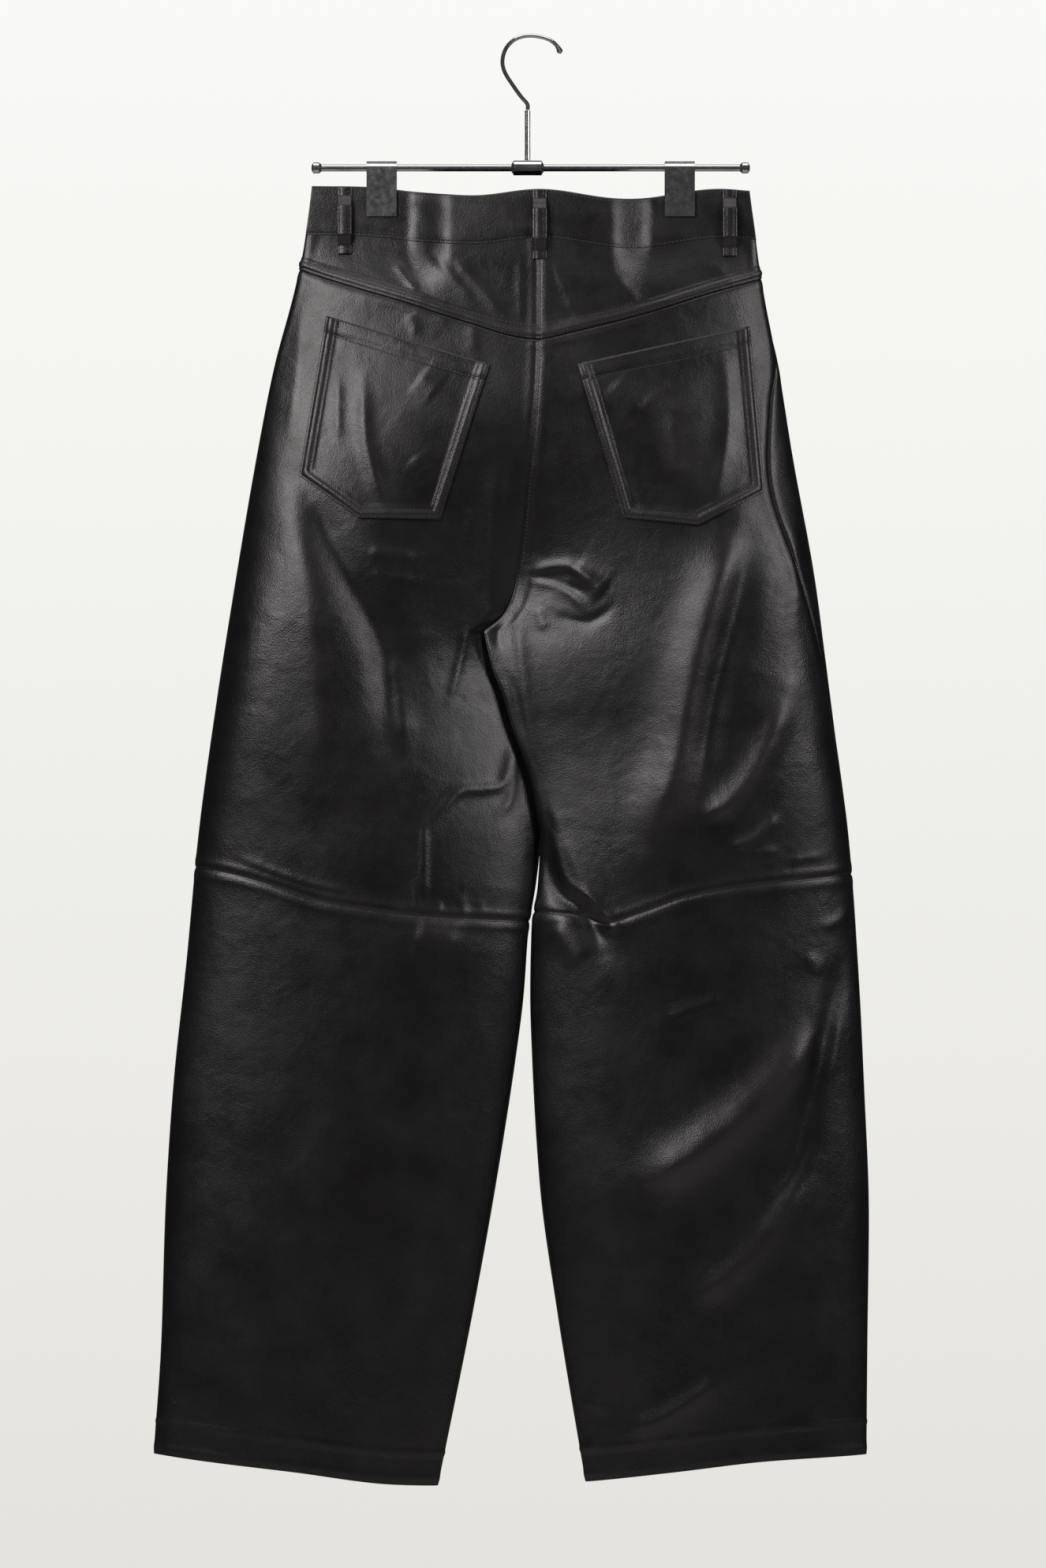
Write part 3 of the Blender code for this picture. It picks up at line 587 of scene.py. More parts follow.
def turn_at(side: int, face: int, x: Array, z: Array) -> Array:
    """The turn at which a leg's outer surface passes over a point of the XZ plane."""
    inner = inner_edge(side, face, z)
    share = np.clip((x - inner) / (side_edge[side](z) - inner), 0, 1)
    return np.arccos(1 - 2 * share) / math.pi


def on_cloth(side: int, face: int, x: Array, z: Array, lift: Array | float) -> tuple[Array, Array]:
    """Points a lift outside the creased cloth, over points of the XZ plane, and their normals."""
    turn = turn_at(side, face, x, z)
    normal = outward(side, face, turn, z)
    height = relief(face, turn, x, z) + lift
    return cloth(side, face, turn, z) + height[..., None] * normal, normal


def edge_runs(points: Array) -> tuple[Array, Array]:
    """How far each point of a grid is from its row's first and last points, along the row."""
    step = np.linalg.norm(np.diff(points, axis=1), axis=2)
    run = np.concatenate([np.zeros((len(points), 1)), np.cumsum(step, axis=1)], axis=1)
    return run, run[:, -1:] - run


def dense(count: int, length: float, extra: tuple[float, ...] = (0.5, 1.1, 1.8, 2.8)) -> Array:
    """Even steps from 0 to 1, with more of them close to both ends.

    Args:
        count: How many even steps.
        length: The real length, in millimetres.
        extra: How far from each end the added steps are, in millimetres.

    Returns:
        The sorted steps.
    """
    near = np.array(extra) / length
    even = np.linspace(0, 1, count + 1)
    even = even[(even == 0) | (even == 1) | ((even > near[-1]) & (even < 1 - near[-1]))]
    return np.unique(np.concatenate([even, near, 1 - near]))


def lapped(gap: Array) -> Array:
    """The height of a lapped edge with two rows of stitches, over the distance from the edge."""
    height = 0.9 * (1 - ease(ROW_FAR, ROW_FAR + 3.5, gap))
    height = height + 0.65 * bump((ROW_NEAR + ROW_FAR) / 2, 2.4, gap)
    height = height - 0.55 * bump(ROW_NEAR, 0.75, gap) - 0.6 * bump(ROW_FAR, 0.8, gap)
    return height - 0.5 * bump(0, 0.7, gap)


def pressed_seam(gap: Array) -> Array:
    """The height beside a plain seam: a groove at it, and the allowance's soft ridge by it."""
    return -0.75 * bump(0, 1.3, gap) + 0.4 * bump(5.5, 3.4, gap)


def make_mesh(
    name: str, points: Array, faces: list, material: bpy.types.Material
) -> bpy.types.Object:
    """A smooth-shaded mesh object in millimetres.

    Args:
        name: The piece's name.
        points: The vertices.
        faces: The faces, as tuples of vertex numbers.
        material: The finish.

    Returns:
        The object, linked to the scene.
    """
    mesh = bpy.data.meshes.new(name)
    mesh.from_pydata((points * MM).tolist(), [], faces)
    mesh.materials.append(material)
    mesh.shade_smooth()
    mesh.set_sharp_from_angle(angle=math.radians(50))
    mesh.update()
    obj = bpy.data.objects.new(name, mesh)
    bpy.context.scene.collection.objects.link(obj)
    return obj


def wall_faces(rows: int, columns: int, closed: bool, flip: bool) -> list:
    """The faces of a wall between two grids of points, the outer one first."""
    size = rows * columns
    across = columns if closed else columns - 1
    faces = []
    for j in range(rows - 1):
        for i in range(across):
            k = (i + 1) % columns
            a, b = j * columns + i, j * columns + k
            c, d = b + columns, a + columns
            faces.append((a, b, c, d))
            faces.append((size + d, size + c, size + b, size + a))
    rims = [[(j * columns + i) for i in range(columns)] for j in (0, rows - 1)]
    turns = [True, False]
    if closed:
        rims = [rim + rim[:1] for rim in rims]
    else:
        rims += [[j * columns + i for j in range(rows)] for i in (0, columns - 1)]
        turns += [False, True]
    for rim, turn in zip(rims, turns):
        for a, b in zip(rim, rim[1:]):
            faces.append((b, a, size + a, size + b) if turn else (a, b, size + b, size + a))
    return [face[::-1] for face in faces] if flip else faces


@dataclass
class Sheet:
    """One piece of leather, as a wall between two grids of points."""

    name: str
    nodes: tuple[str, ...]
    rests_on: tuple[str, ...]
    closed: bool = False

    def make(
        self, outer: Array, inner: Array, wear_and_sheen: Array, material: bpy.types.Material
    ) -> bpy.types.Object:
        """Builds the wall, hides the CAD parts that it stands for, and logs how it was cut.

        Args:
            outer: The outer grid.
            inner: The inner grid.
            wear_and_sheen: How much greyer each outer point is painted, above 0 where it stands raised:
                rubbed wear at seam edges, painted highlight on crease crests; below 0 a groove.
            material: The leather.

        Returns:
            The finished piece.
        """
        rows, columns = outer.shape[:2]
        points = np.concatenate([outer.reshape(-1, 3), inner.reshape(-1, 3)])
        j, i = rows // 2, columns // 3
        up_way = outer[min(j + 1, rows - 1), i] - outer[j, i]
        normal = np.cross(outer[j, i + 1] - outer[j, i], up_way)
        away = outer[j, i] - inner[j, i]
        flip = float(np.dot(normal, away)) < 0
        obj = make_mesh(self.name, points, wall_faces(rows, columns, self.closed, flip), material)
        # This layer paints raised places greyer: rubbed wear at seam edges, painted highlight on crease crests.
        layer = obj.data.attributes.new("wear_and_sheen", "FLOAT", "POINT")
        both = np.concatenate([wear_and_sheen.ravel(), 0 * wear_and_sheen.ravel()])
        layer.data.foreach_set("value", both.astype(np.float32))
        across = np.linalg.norm(np.diff(outer, axis=1), axis=2).sum(axis=1)
        down = np.linalg.norm(np.diff(outer, axis=0), axis=2).sum(axis=0)
        if self.closed:
            across = across + np.linalg.norm(outer[:, 0] - outer[:, -1], axis=1)
        u = np.diff(outer, axis=1)[:-1]
        v = np.diff(outer, axis=0)[:, :-1]
        area = float(np.linalg.norm(np.cross(u, v), axis=2).sum()) * MM * MM
        width, length = float(across.max()) * MM, float(down.max()) * MM
        area = min(max(area, 0.31 * width * length), width * length)
        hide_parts(*self.nodes)
        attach(obj, "root")
        LOG.info("%s: %.0f x %.0f mm cut, %.4f m2", self.name, width / MM, length / MM, area)
        return obj


THREAD_SIDES = 6
# A stitch's sections: how far along it, how wide and how high, the first as a share of its
# length, the second of its radius and the third in millimetres
THREAD_STATIONS = (
    (-0.5, 0.0, -0.32),
    (-0.44, 0.75, -0.12),
    (-0.2, 1.0, 0.1),
    (0.2, 1.0, 0.1),
    (0.44, 0.75, -0.12),
    (0.5, 0.0, -0.32),
)


@dataclass
class Threads:
    """Rows of stitches, each one a short rounded thread sunk at both ends."""

    name: str
    pitch: float = 3.1
    length: float = 2.45
    radius: float = 0.27
    rows: list = field(default_factory=list)

    def add(self, points: Array, normals: Array) -> None:
        """Adds one row along a line of surface points."""
        self.rows.append((points, normals))

    def build(self, material: bpy.types.Material) -> bpy.types.Object | None:
        """Places every stitch and joins them into one piece."""
        sides, stations = THREAD_SIDES, THREAD_STATIONS
        verts, faces = [], []
        angle = np.arange(sides) * 2 * math.pi / sides
        for points, normals in self.rows:
            step = np.linalg.norm(np.diff(points, axis=0), axis=1)
            run = np.concatenate([[0], np.cumsum(step)])
            count = int(run[-1] / self.pitch)
            at = (np.arange(count) + 0.5) * run[-1] / max(count, 1)
            place = np.stack([np.interp(at, run, points[:, k]) for k in range(3)], axis=1)
            ahead = np.stack([np.interp(at + 0.6, run, points[:, k]) for k in range(3)], axis=1)
            behind = np.stack([np.interp(at - 0.6, run, points[:, k]) for k in range(3)], axis=1)
            up = np.stack([np.interp(at, run, normals[:, k]) for k in range(3)], axis=1)
            way = ahead - behind
            way /= np.linalg.norm(way, axis=1, keepdims=True)
            up -= (up * way).sum(axis=1, keepdims=True) * way
            up /= np.linalg.norm(up, axis=1, keepdims=True)
            aside = np.cross(way, up)
            for p, w, u, s in zip(place, way, up, aside):
                base = len(verts)
                for along, wide, lift in stations:
                    centre = p + w * along * self.length + u * lift
                    reach = max(wide, 0.12) * self.radius
                    for a in angle:
                        verts.append(centre + reach * (math.cos(a) * s + math.sin(a) * u))
                for j in range(len(stations) - 1):
                    for i in range(sides):
                        k = (i + 1) % sides
                        ring = base + j * sides
                        faces.append((ring + i, ring + k, ring + sides + k, ring + sides + i))
                faces.append(tuple(base + i for i in range(sides))[::-1])
                faces.append(tuple(base + (len(stations) - 1) * sides + i for i in range(sides)))
        if not verts:
            return None
        obj = make_mesh(self.name, np.array(verts), faces, material)
        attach(obj, "root")
        LOG.info("%s: %d stitches", self.name, len(verts) // (sides * len(stations)))
        return obj


@dataclass
class Panel:
    """One leg panel or yoke, between two seams that run across it."""

    node: str
    side: int
    face: int
    top: Shape
    bottom: Shape
    columns: int
    rows: int
    rests_on: tuple[str, ...]
    lap: bool = False
    centre_row: bool = False
    crowd: float = 0.38
    crease: Array | None = None

    def grid(self) -> tuple[Array, Array]:
        """Turns and heights of the panel's points, whose first and last rows follow its seams."""
        even = dense(self.columns, 380.0)
        steps = (even + self.crowd * np.sin(2 * math.pi * even) / (2 * math.pi))[None, :]
        height = abs(float(self.top(self.side * 100.0) - self.bottom(self.side * 100.0)))
        share = dense(self.rows, height, (0.5, 1.1, 1.7, 2.4, 3.2, 5, 6.6, 7.6, 8.8))[:, None]
        z = np.full((share.size, steps.size), -400.0)
        for _ in range(14):
            swung = np.radians(swing(z)) if self.side == RIGHT else 0 * z
            width = np.abs(side_edge[self.side](z) - inner_edge(self.side, self.face, z)) / 2
            pace = np.hypot(width * np.sin(swung), 0.94 * leg_depth(z))
            gap = HALF_SEAM / pace / math.pi
            end = 1 + self.face * swung / math.pi - gap
            turn = gap + (end - gap) * steps
            x = cloth(self.side, self.face, turn, z)[..., 0]
            z = self.top(x) + (self.bottom(x) - self.top(x)) * share
        z[0] += BAND_TUCK if self.top is waist_seam else -HALF_SEAM
        z[-1] += HALF_SEAM
        return turn, z

    def heights(self, turn: Array, z: Array, base: Array) -> tuple[Array, Array]:
        """What the creases and the sewing add to each point, and how much greyer it is painted there."""
        x = base[..., 0]
        height = relief(self.face, turn, x, z)
        from_inner, from_side = edge_runs(base)
        below_top = np.abs(self.top(x) - z) + (9.0 if self.top is waist_seam else 0.0)
        above_bottom = np.abs(z - self.bottom(x))
        self.crease = pressed_seam(from_inner)
        sewn = pressed_seam(from_side) + pressed_seam(below_top)
        if self.lap:
            sewn = sewn + lapped(above_bottom)
        else:
            sewn = sewn + pressed_seam(above_bottom)
        if self.bottom is hem_line[self.side]:
            sewn = sewn + 0.75 * bump(0, 1.3, above_bottom)
            sewn = sewn + HEM_PUFF * bump(HEM_DEPTH, 1.7, above_bottom)
        # Greyer where raised: rubbed wear on seams and hem, painted highlight on crease crests.
        wear_and_sheen = 0.5 * np.clip(sewn + self.crease, -1, 1) + 0.12 * np.clip(height, -3, 4)
        return height + sewn, wear_and_sheen

    def build(self, leather: bpy.types.Material, threads: Threads) -> bpy.types.Object:
        """Builds the panel, and adds its rows of stitches to threads.

        Args:
            leather: The finish.
            threads: The trousers' stitches.

        Returns:
            The panel.
        """
        turn, z = self.grid()
        base = cloth(self.side, self.face, turn, z)
        normal = outward(self.side, self.face, turn, z)
        height, wear_and_sheen = self.heights(turn, z, base)
        outer = base + height[..., None] * normal
        outer[..., 1] += self.face * np.where(turn <= 1, self.crease, 0)
        inner = self.lining(base, normal, turn, z)
        inner = inner + np.minimum(height, 0.6 * height)[..., None] * normal
        piece = Sheet("leather_" + self.node, (self.node,), self.rests_on)
        obj = piece.make(outer, inner, wear_and_sheen, leather)
        if self.lap:
            rows = abs(self.bottom(base[..., 0]) - z).mean(axis=1)
            for want in (ROW_NEAR, ROW_FAR):
                j = int(np.argmin(np.abs(rows - want)))
                threads.add(outer[j], normal[j])
        if self.centre_row:
            run = edge_runs(base)[0].mean(axis=0)
            i = int(np.argmin(np.abs(run - 2.8)))
            upper = slice(0, int(np.argmin(np.abs(z[:, i] + 455))) if z.min() < -455 else len(z))
            threads.add(outer[upper, i], normal[upper, i])
        return obj

    def lining(self, base: Array, normal: Array, turn: Array, z: Array) -> Array:
        """The points of the panel's inner surface, kept on their own side of the middle plane."""
        points = base - WALL * normal
        share = (1 - np.cos(math.pi * turn)) / 2
        mid = middle(self.side, share, z)
        off = (points[..., 1] - mid) * self.face
        kept = np.where(turn <= 1, np.maximum(off, HALF_SEAM), off)
        points[..., 1] = kept * self.face + mid
        edge = inner_edge(self.side, self.face, points[..., 2])
        points[..., 0] = self.side * np.maximum(self.side * points[..., 0], self.side * edge)
        return points


@dataclass
class HemBand:
    """The turned-up leather inside a leg's end."""

    node: str
    side: int
    columns: int = 60

    def build(self, leather: bpy.types.Material) -> bpy.types.Object:
        """Builds the band just inside the leg's wall."""
        steps = np.linspace(0, 1, self.columns + 1)
        grids = {WALL + LIE: [], WALL + LIE + HEM_WALL: []}
        for height in (HEM_LIFT, HEM_DEPTH * 0.25, HEM_DEPTH / 2, HEM_DEPTH * 0.75, HEM_DEPTH):
            for depth, rows in grids.items():
                row = []
                for face, turn in ((BACK, steps), (FRONT, steps[-2:0:-1])):
                    z = np.full(turn.shape, hem_line[self.side](0.0))
                    for _ in range(12):
                        z = hem_line[self.side](cloth(self.side, face, turn, z)[..., 0]) + height
                    base = cloth(self.side, face, turn, z)
                    raised = np.minimum(relief(face, turn, base[..., 0], z), 0)
                    normal = outward(self.side, face, turn, z)
                    row.append(base + (raised - depth)[..., None] * normal)
                rows.append(np.concatenate(row))
        outer, inner = (np.array(rows) for rows in grids.values())
        leg = self.node.replace("hem", "leather_back_lower")
        piece = Sheet("leather_" + self.node, (self.node,), (leg,), closed=True)
        return piece.make(outer, inner, 0 * outer[..., 0], leather)


def polyline_gap(x: Array, z: Array, *corners: namedtuple) -> Array:
    """How far points lie from a line through some corners."""
    return route_gap(x, z, tuple((corner.x, corner.z) for corner in corners))[0]


@dataclass
class PatchPocket:
    """A patch pocket sewn flat on the leg, with doubled rows at its sides and foot."""

    node: str
    pocket: namedtuple
    columns: int = 84
    rows: int = 78
    split: float = 4 / 7

    def at(self, s: Array, down: Array) -> tuple[Array, Array]:
        """The place on the XZ plane at shares across and down the pocket."""
        p = self.pocket
        low = np.where(s <= self.split, s / self.split, (s - self.split) / (1 - self.split))
        place = []
        for axis in "xz":
            corners = (p.top_in, p.top_out, p.bottom_out, p.bottom_mid, p.bottom_in)
            top_in, top_out, out, mid, inside = (getattr(corner, axis) for corner in corners)
            top = top_in + (top_out - top_in) * s
            foot = np.where(s <= self.split, inside + (mid - inside) * low, mid + (out - mid) * low)
            place.append(top + (foot - top) * down)
        return place[0], place[1]

    def build(self, leather: bpy.types.Material, threads: Threads) -> bpy.types.Object:
        """Builds the pocket, and adds its rows of stitches to threads."""
        p = self.pocket
        extra = (0.5, 1.1, 1.6, 2.2, 3, 5, 6.8, 7.6, 8.4, 10)
        s = dense(self.columns, 125.0, extra)[None, :]
        down = dense(self.rows, 132.0, extra + (12.6, 13.5, 14.4))[:, None]
        s, down = np.broadcast_arrays(s, down)
        x, z = self.at(s, down)
        sewn = self.from_seam(x, z)
        top = polyline_gap(x, z, p.top_in, p.top_out)
        height = lapped(sewn) - 0.5 * bump(POCKET_HEM, 0.9, top)
        height = height + 0.5 * bump(7, 5, top) * ease(0, 3, sewn)
        height = height - 0.6 * bump(0, 0.9, top) + 0.5 * ease(12, 55, sewn) * ease(10, 40, top)
        inner, _ = on_cloth(p.side, BACK, x, z, LIE)
        outer, normal = on_cloth(p.side, BACK, x, z, LIE + WALL + height)
        # Greyer where raised: rubbed wear on the lapped edges, painted highlight on the puffed middle.
        wear_and_sheen = 0.5 * np.clip(height, -1, 1)
        hung = "leather_" + self.node.replace("pocket", "back_upper")
        obj = Sheet("leather_" + self.node, (self.node,), (hung,)).make(outer, inner, wear_and_sheen, leather)
        width, tall = 125.0, 132.0
        fine = np.linspace(0, 1, 160)
        for want in (ROW_NEAR, ROW_FAR):
            a, b = want / width, want / tall
            line_s = np.concatenate([0 * fine + a, a + (1 - 2 * a) * fine, 0 * fine + 1 - a])
            drop = (0.988 - b) * fine
            line_d = np.concatenate([0.012 + drop, 0 * fine + 1 - b, (1 - b) - drop])
            self.sew(line_s, line_d, threads)
        inset = ROW_FAR / width
        self.sew(inset + (1 - 2 * inset) * fine, 0 * fine + POCKET_HEM / tall, threads)
        return obj

    def from_seam(self, x: Array, z: Array) -> Array:
        """How far points lie from the pocket's nearest sewn edge: its sides and its foot."""
        p = self.pocket
        inner_side = polyline_gap(x, z, p.top_in, p.bottom_in)
        outer_side = polyline_gap(x, z, p.top_out, p.bottom_out)
        foot = polyline_gap(x, z, p.bottom_in, p.bottom_mid, p.bottom_out)
        return np.minimum(np.minimum(inner_side, outer_side), foot)

    def sew(self, s: Array, down: Array, threads: Threads) -> None:
        """Adds one row of stitches along shares of the pocket."""
        x, z = self.at(s, down)
        points, normal = on_cloth(self.pocket.side, BACK, x, z, LIE + WALL)
        lift = lapped(self.from_seam(x, z)) + 0.1
        threads.add(points + lift[:, None] * normal, normal)


def band_point(face: int, x: Array, z: Array, lift: Array | float) -> tuple[Array, Array]:
    """Points a lift outside the waistband's outer surface, and their normals."""
    y = face * (BAND_WALL + HALF_SEAM + body_half(x, z))
    slope = face * (body_half(x + 0.5, z) - body_half(x - 0.5, z))
    normal = np.stack([-slope * face, face + 0 * x, 0 * x], axis=-1)
    normal /= np.linalg.norm(normal, axis=-1, keepdims=True)
    return np.stack([x, y, z + 0 * x], axis=-1) + np.asarray(lift)[..., None] * normal, normal


@dataclass
class Waistband:
    """One length of the waistband, folded over at its top and edge-stitched all round."""

    node: str
    face: int
    start: float
    end: float
    columns: int = 170

    def build(self, leather: bpy.types.Material, threads: Threads) -> bpy.types.Object:
        """Builds the band, and adds its rows of stitches to threads."""
        left, right = side_edge[LEFT](-140.0), side_edge[RIGHT](-140.0)
        centre, half = (left + right) / 2, (right - left) / 2
        reach = (np.clip((centre - end) / half, -1, 1) for end in (self.start, self.end))
        first, last = (math.acos(float(share)) for share in reach)
        x = (centre - half * np.cos(np.linspace(first, last, self.columns)))[None, :]
        share = dense(14, BAND_HEIGHT, (0.4, 0.9, 1.5, 2.2, 3.0, 4.2))[:, None]
        z = waist_seam(x) + BAND_HEIGHT * (1 - share)
        lean = side_edge[RIGHT](z) - right
        spread = x + lean * (x - centre) / half
        from_edge = np.minimum(share, 1 - share) * BAND_HEIGHT
        height = -0.9 * bump(0, 0.8, from_edge) - 0.35 * bump(2.2, 0.7, from_edge)
        height = height + 0.3 * ease(3, 9, from_edge)
        height = height + 0.35 * np.sin(spread / 17.0 + z / 9.0) * ease(4, 12, from_edge)
        outer, normal = band_point(self.face, spread, z, height)
        inner, _ = band_point(self.face, spread, z, -BAND_WALL + 0 * z)
        name = "leather_" + self.node
        piece = Sheet(name, (self.node,), ("clip_left", "clip_right"))
        # Greyer where raised, on its middle and the crests of its ripples: painted highlight.
        obj = piece.make(outer, inner, 0.6 * height, leather)
        for want in (2.2, BAND_HEIGHT - 2.2):
            j = int(np.argmin(np.abs(share[:, 0] * BAND_HEIGHT - want)))
            threads.add(outer[j], normal[j])
        return obj


@dataclass
class BeltLoop:
    """A belt loop, sewn down at both ends and edge-stitched along both sides."""

    node: str
    face: int
    x: float
    bottom: float
    stand: float

    def build(self, leather: bpy.types.Material, threads: Threads) -> bpy.types.Object:
        """Builds the loop, and adds its rows of stitches to threads."""
        share = np.linspace(0, 1, 61)[:, None]
        top = waist_seam(self.x) + BAND_HEIGHT - 1
        z = top + (self.bottom - top) * share
        half = np.array([0.12, 0.24, 0.33, 0.4, 0.46, 0.5])
        across = np.concatenate([-half[::-1], [0], half])[None, :]
        x = self.x + LOOP_WIDTH * across
        x, z = np.broadcast_arrays(x, z)
        from_end = np.minimum(share, 1 - share)
        lift = LOOP_REST + (self.stand - LOOP_REST) * ease(LOOP_SEWN, LOOP_RISE, from_end) + 0 * x
        edge = LOOP_WIDTH * (0.5 - np.abs(across)) + 0 * x
        height = -0.45 * bump(0, 0.5, edge) - 0.25 * bump(1.6, 0.5, edge)
        height = height + 0.25 * ease(1.8, 4, edge)
        outer, normal = band_point(self.face, x, z, lift + LOOP_WALL + height)
        inner, _ = band_point(self.face, x, z, lift)
        name = "leather_" + self.node
        band = "leather_waistband_back" if self.face == BACK else "leather_waistband_front_left"
        # Greyer where raised between the stitch rows: rubbed wear and painted highlight.
        obj = Sheet(name, (self.node,), (band,)).make(outer, inner, height, leather)
        for i in (3, 9):
            threads.add(outer[2:-2, i], normal[2:-2, i])
        for j in (4, 56):
            threads.add(outer[j, 2:-2], normal[j, 2:-2])
        return obj


@dataclass
class FlyFacing:
    """The fly's facing beside the front seam, with its curved row of stitches."""

    node: str = "fly"

    def build(self, leather: bpy.types.Material, threads: Threads) -> bpy.types.Object:
        """Builds the facing, and adds its rows of stitches to threads."""
        down = np.linspace(0, 1, 70)[:, None]
        width = FLY_WIDTH * np.sqrt(1 - 0.93 * down**4)
        z = waist_seam(15.0) - 3 - FLY_LENGTH * down
        across = dense(16, FLY_WIDTH, (0.5, 1.1, 1.8, 2.8))[None, :]
        x = seat_seam[FRONT](z) + 1.5 + width * across
        z = z + 0 * x
        edge = (1 - across) * width
        height = -0.5 * bump(0, 0.7, edge) - 0.3 * bump(2.6, 0.8, edge) + 0.2 * ease(3, 9, edge)
        inner, _ = on_cloth(RIGHT, FRONT, x, z, LIE)
        outer, normal = on_cloth(RIGHT, FRONT, x, z, LIE + WALL + height)
        piece = Sheet("leather_fly", (self.node,), ("leather_front_upper_right",))
        # Faintly greyer on the raised middle: rubbed wear and painted highlight.
        obj = piece.make(outer, inner, height, leather)
        i = int(np.argmin(np.abs(edge[30] - 2.6)))
        threads.add(outer[:, i], normal[:, i])
        return obj


class Metal(Enum):
    """The hanger's and the button's metals: colour, roughness and metallic share."""

    STEEL = ((0.56, 0.56, 0.57), 0.17, 1.0)
    BUTTON = ((0.05, 0.048, 0.047), 0.3, 0.85)


@dataclass(frozen=True)
class MetalFinish:
    """A polished metal with faint rubbing."""

    name: str
    metal: Metal
    rub: float = 0.06

    def build(self) -> bpy.types.Material:
        """Makes the material."""
        colour, rough, metallic = self.metal.value
        material = bpy.data.materials.new(self.name)
        material.use_nodes = True
        tree = material.node_tree
        shader = tree.nodes["Principled BSDF"]
        shader.inputs["Base Color"].default_value = (*colour, 1)
        shader.inputs["Metallic"].default_value = metallic
        group = tree.nodes.new("ShaderNodeGroup")
        group.node_tree = speckle_group()
        group.inputs["Scale"].default_value = SPECKLES
        group.inputs["Low"].default_value = rough - self.rub / 2
        group.inputs["High"].default_value = rough + self.rub
        where = tree.nodes.new("ShaderNodeTexCoord")
        tree.links.new(where.outputs["Object"], group.inputs["Vector"])
        tree.links.new(group.outputs["Value"], shader.inputs["Roughness"])
        return material


def socket(
    tree: bpy.types.NodeTree, name: str, way: str, kind: str, value: float | None = None
) -> None:
    """Adds one socket to a node group's interface."""
    made = tree.interface.new_socket(name=name, in_out=way, socket_type=kind)
    if value is not None:
        made.default_value = value


def speckle_group() -> bpy.types.NodeTree:
    """A shared group that gives a soft mottled value between Low and High."""
    found = bpy.data.node_groups.get("soft_mottle")
    if found:
        return found
    tree = bpy.data.node_groups.new("soft_mottle", "ShaderNodeTree")
    socket(tree, "Vector", "INPUT", "NodeSocketVector")
    socket(tree, "Scale", "INPUT", "NodeSocketFloat", 30.0)
    socket(tree, "Low", "INPUT", "NodeSocketFloat", 0.0)
    socket(tree, "High", "INPUT", "NodeSocketFloat", 1.0)
    socket(tree, "Value", "OUTPUT", "NodeSocketFloat")
    get, give = tree.nodes.new("NodeGroupInput"), tree.nodes.new("NodeGroupOutput")
    noise, span = tree.nodes.new("ShaderNodeTexNoise"), tree.nodes.new("ShaderNodeMapRange")
    noise.inputs["Detail"].default_value = 5.0
    noise.inputs["Roughness"].default_value = 0.6
    span.inputs["From Min"].default_value = 0.3
    span.inputs["From Max"].default_value = 0.7
    tree.links.new(get.outputs["Vector"], noise.inputs["Vector"])
    tree.links.new(get.outputs["Scale"], noise.inputs["Scale"])
    tree.links.new(noise.outputs[0], span.inputs["Value"])
    tree.links.new(get.outputs["Low"], span.inputs["To Min"])
    tree.links.new(get.outputs["High"], span.inputs["To Max"])
    tree.links.new(span.outputs["Result"], give.inputs["Value"])
    return tree


def grain_group() -> bpy.types.NodeTree:
    """A shared group that gives the leather's pebbled grain and its soft wrinkling as heights."""
    found = bpy.data.node_groups.get("leather_grain")
    if found:
        return found
    tree = bpy.data.node_groups.new("leather_grain", "ShaderNodeTree")
    socket(tree, "Vector", "INPUT", "NodeSocketVector")
    socket(tree, "Pebbles", "INPUT", "NodeSocketFloat", 900.0)
    socket(tree, "Wrinkles", "INPUT", "NodeSocketFloat", 42.0)
    socket(tree, "Grain", "OUTPUT", "NodeSocketFloat")
    socket(tree, "Wrinkle", "OUTPUT", "NodeSocketFloat")
    get, give = tree.nodes.new("NodeGroupInput"), tree.nodes.new("NodeGroupOutput")
    cells, soft = tree.nodes.new("ShaderNodeTexVoronoi"), tree.nodes.new("ShaderNodeTexNoise")
    cells.feature = "SMOOTH_F1"
    cells.inputs["Smoothness"].default_value = 0.35
    soft.inputs["Detail"].default_value = 2.0
    soft.inputs["Distortion"].default_value = 0.3
    wrinkle = tree.nodes.new("ShaderNodeMath")
    wrinkle.operation = "POWER"
    wrinkle.inputs[1].default_value = 1.4
    tree.links.new(get.outputs["Vector"], cells.inputs["Vector"])
    tree.links.new(get.outputs["Pebbles"], cells.inputs["Scale"])
    tree.links.new(get.outputs["Vector"], soft.inputs["Vector"])
    tree.links.new(get.outputs["Wrinkles"], soft.inputs["Scale"])
    tree.links.new(cells.outputs["Distance"], give.inputs["Grain"])
    tree.links.new(soft.outputs[0], wrinkle.inputs[0])
    tree.links.new(wrinkle.outputs[0], give.inputs["Wrinkle"])
    return tree


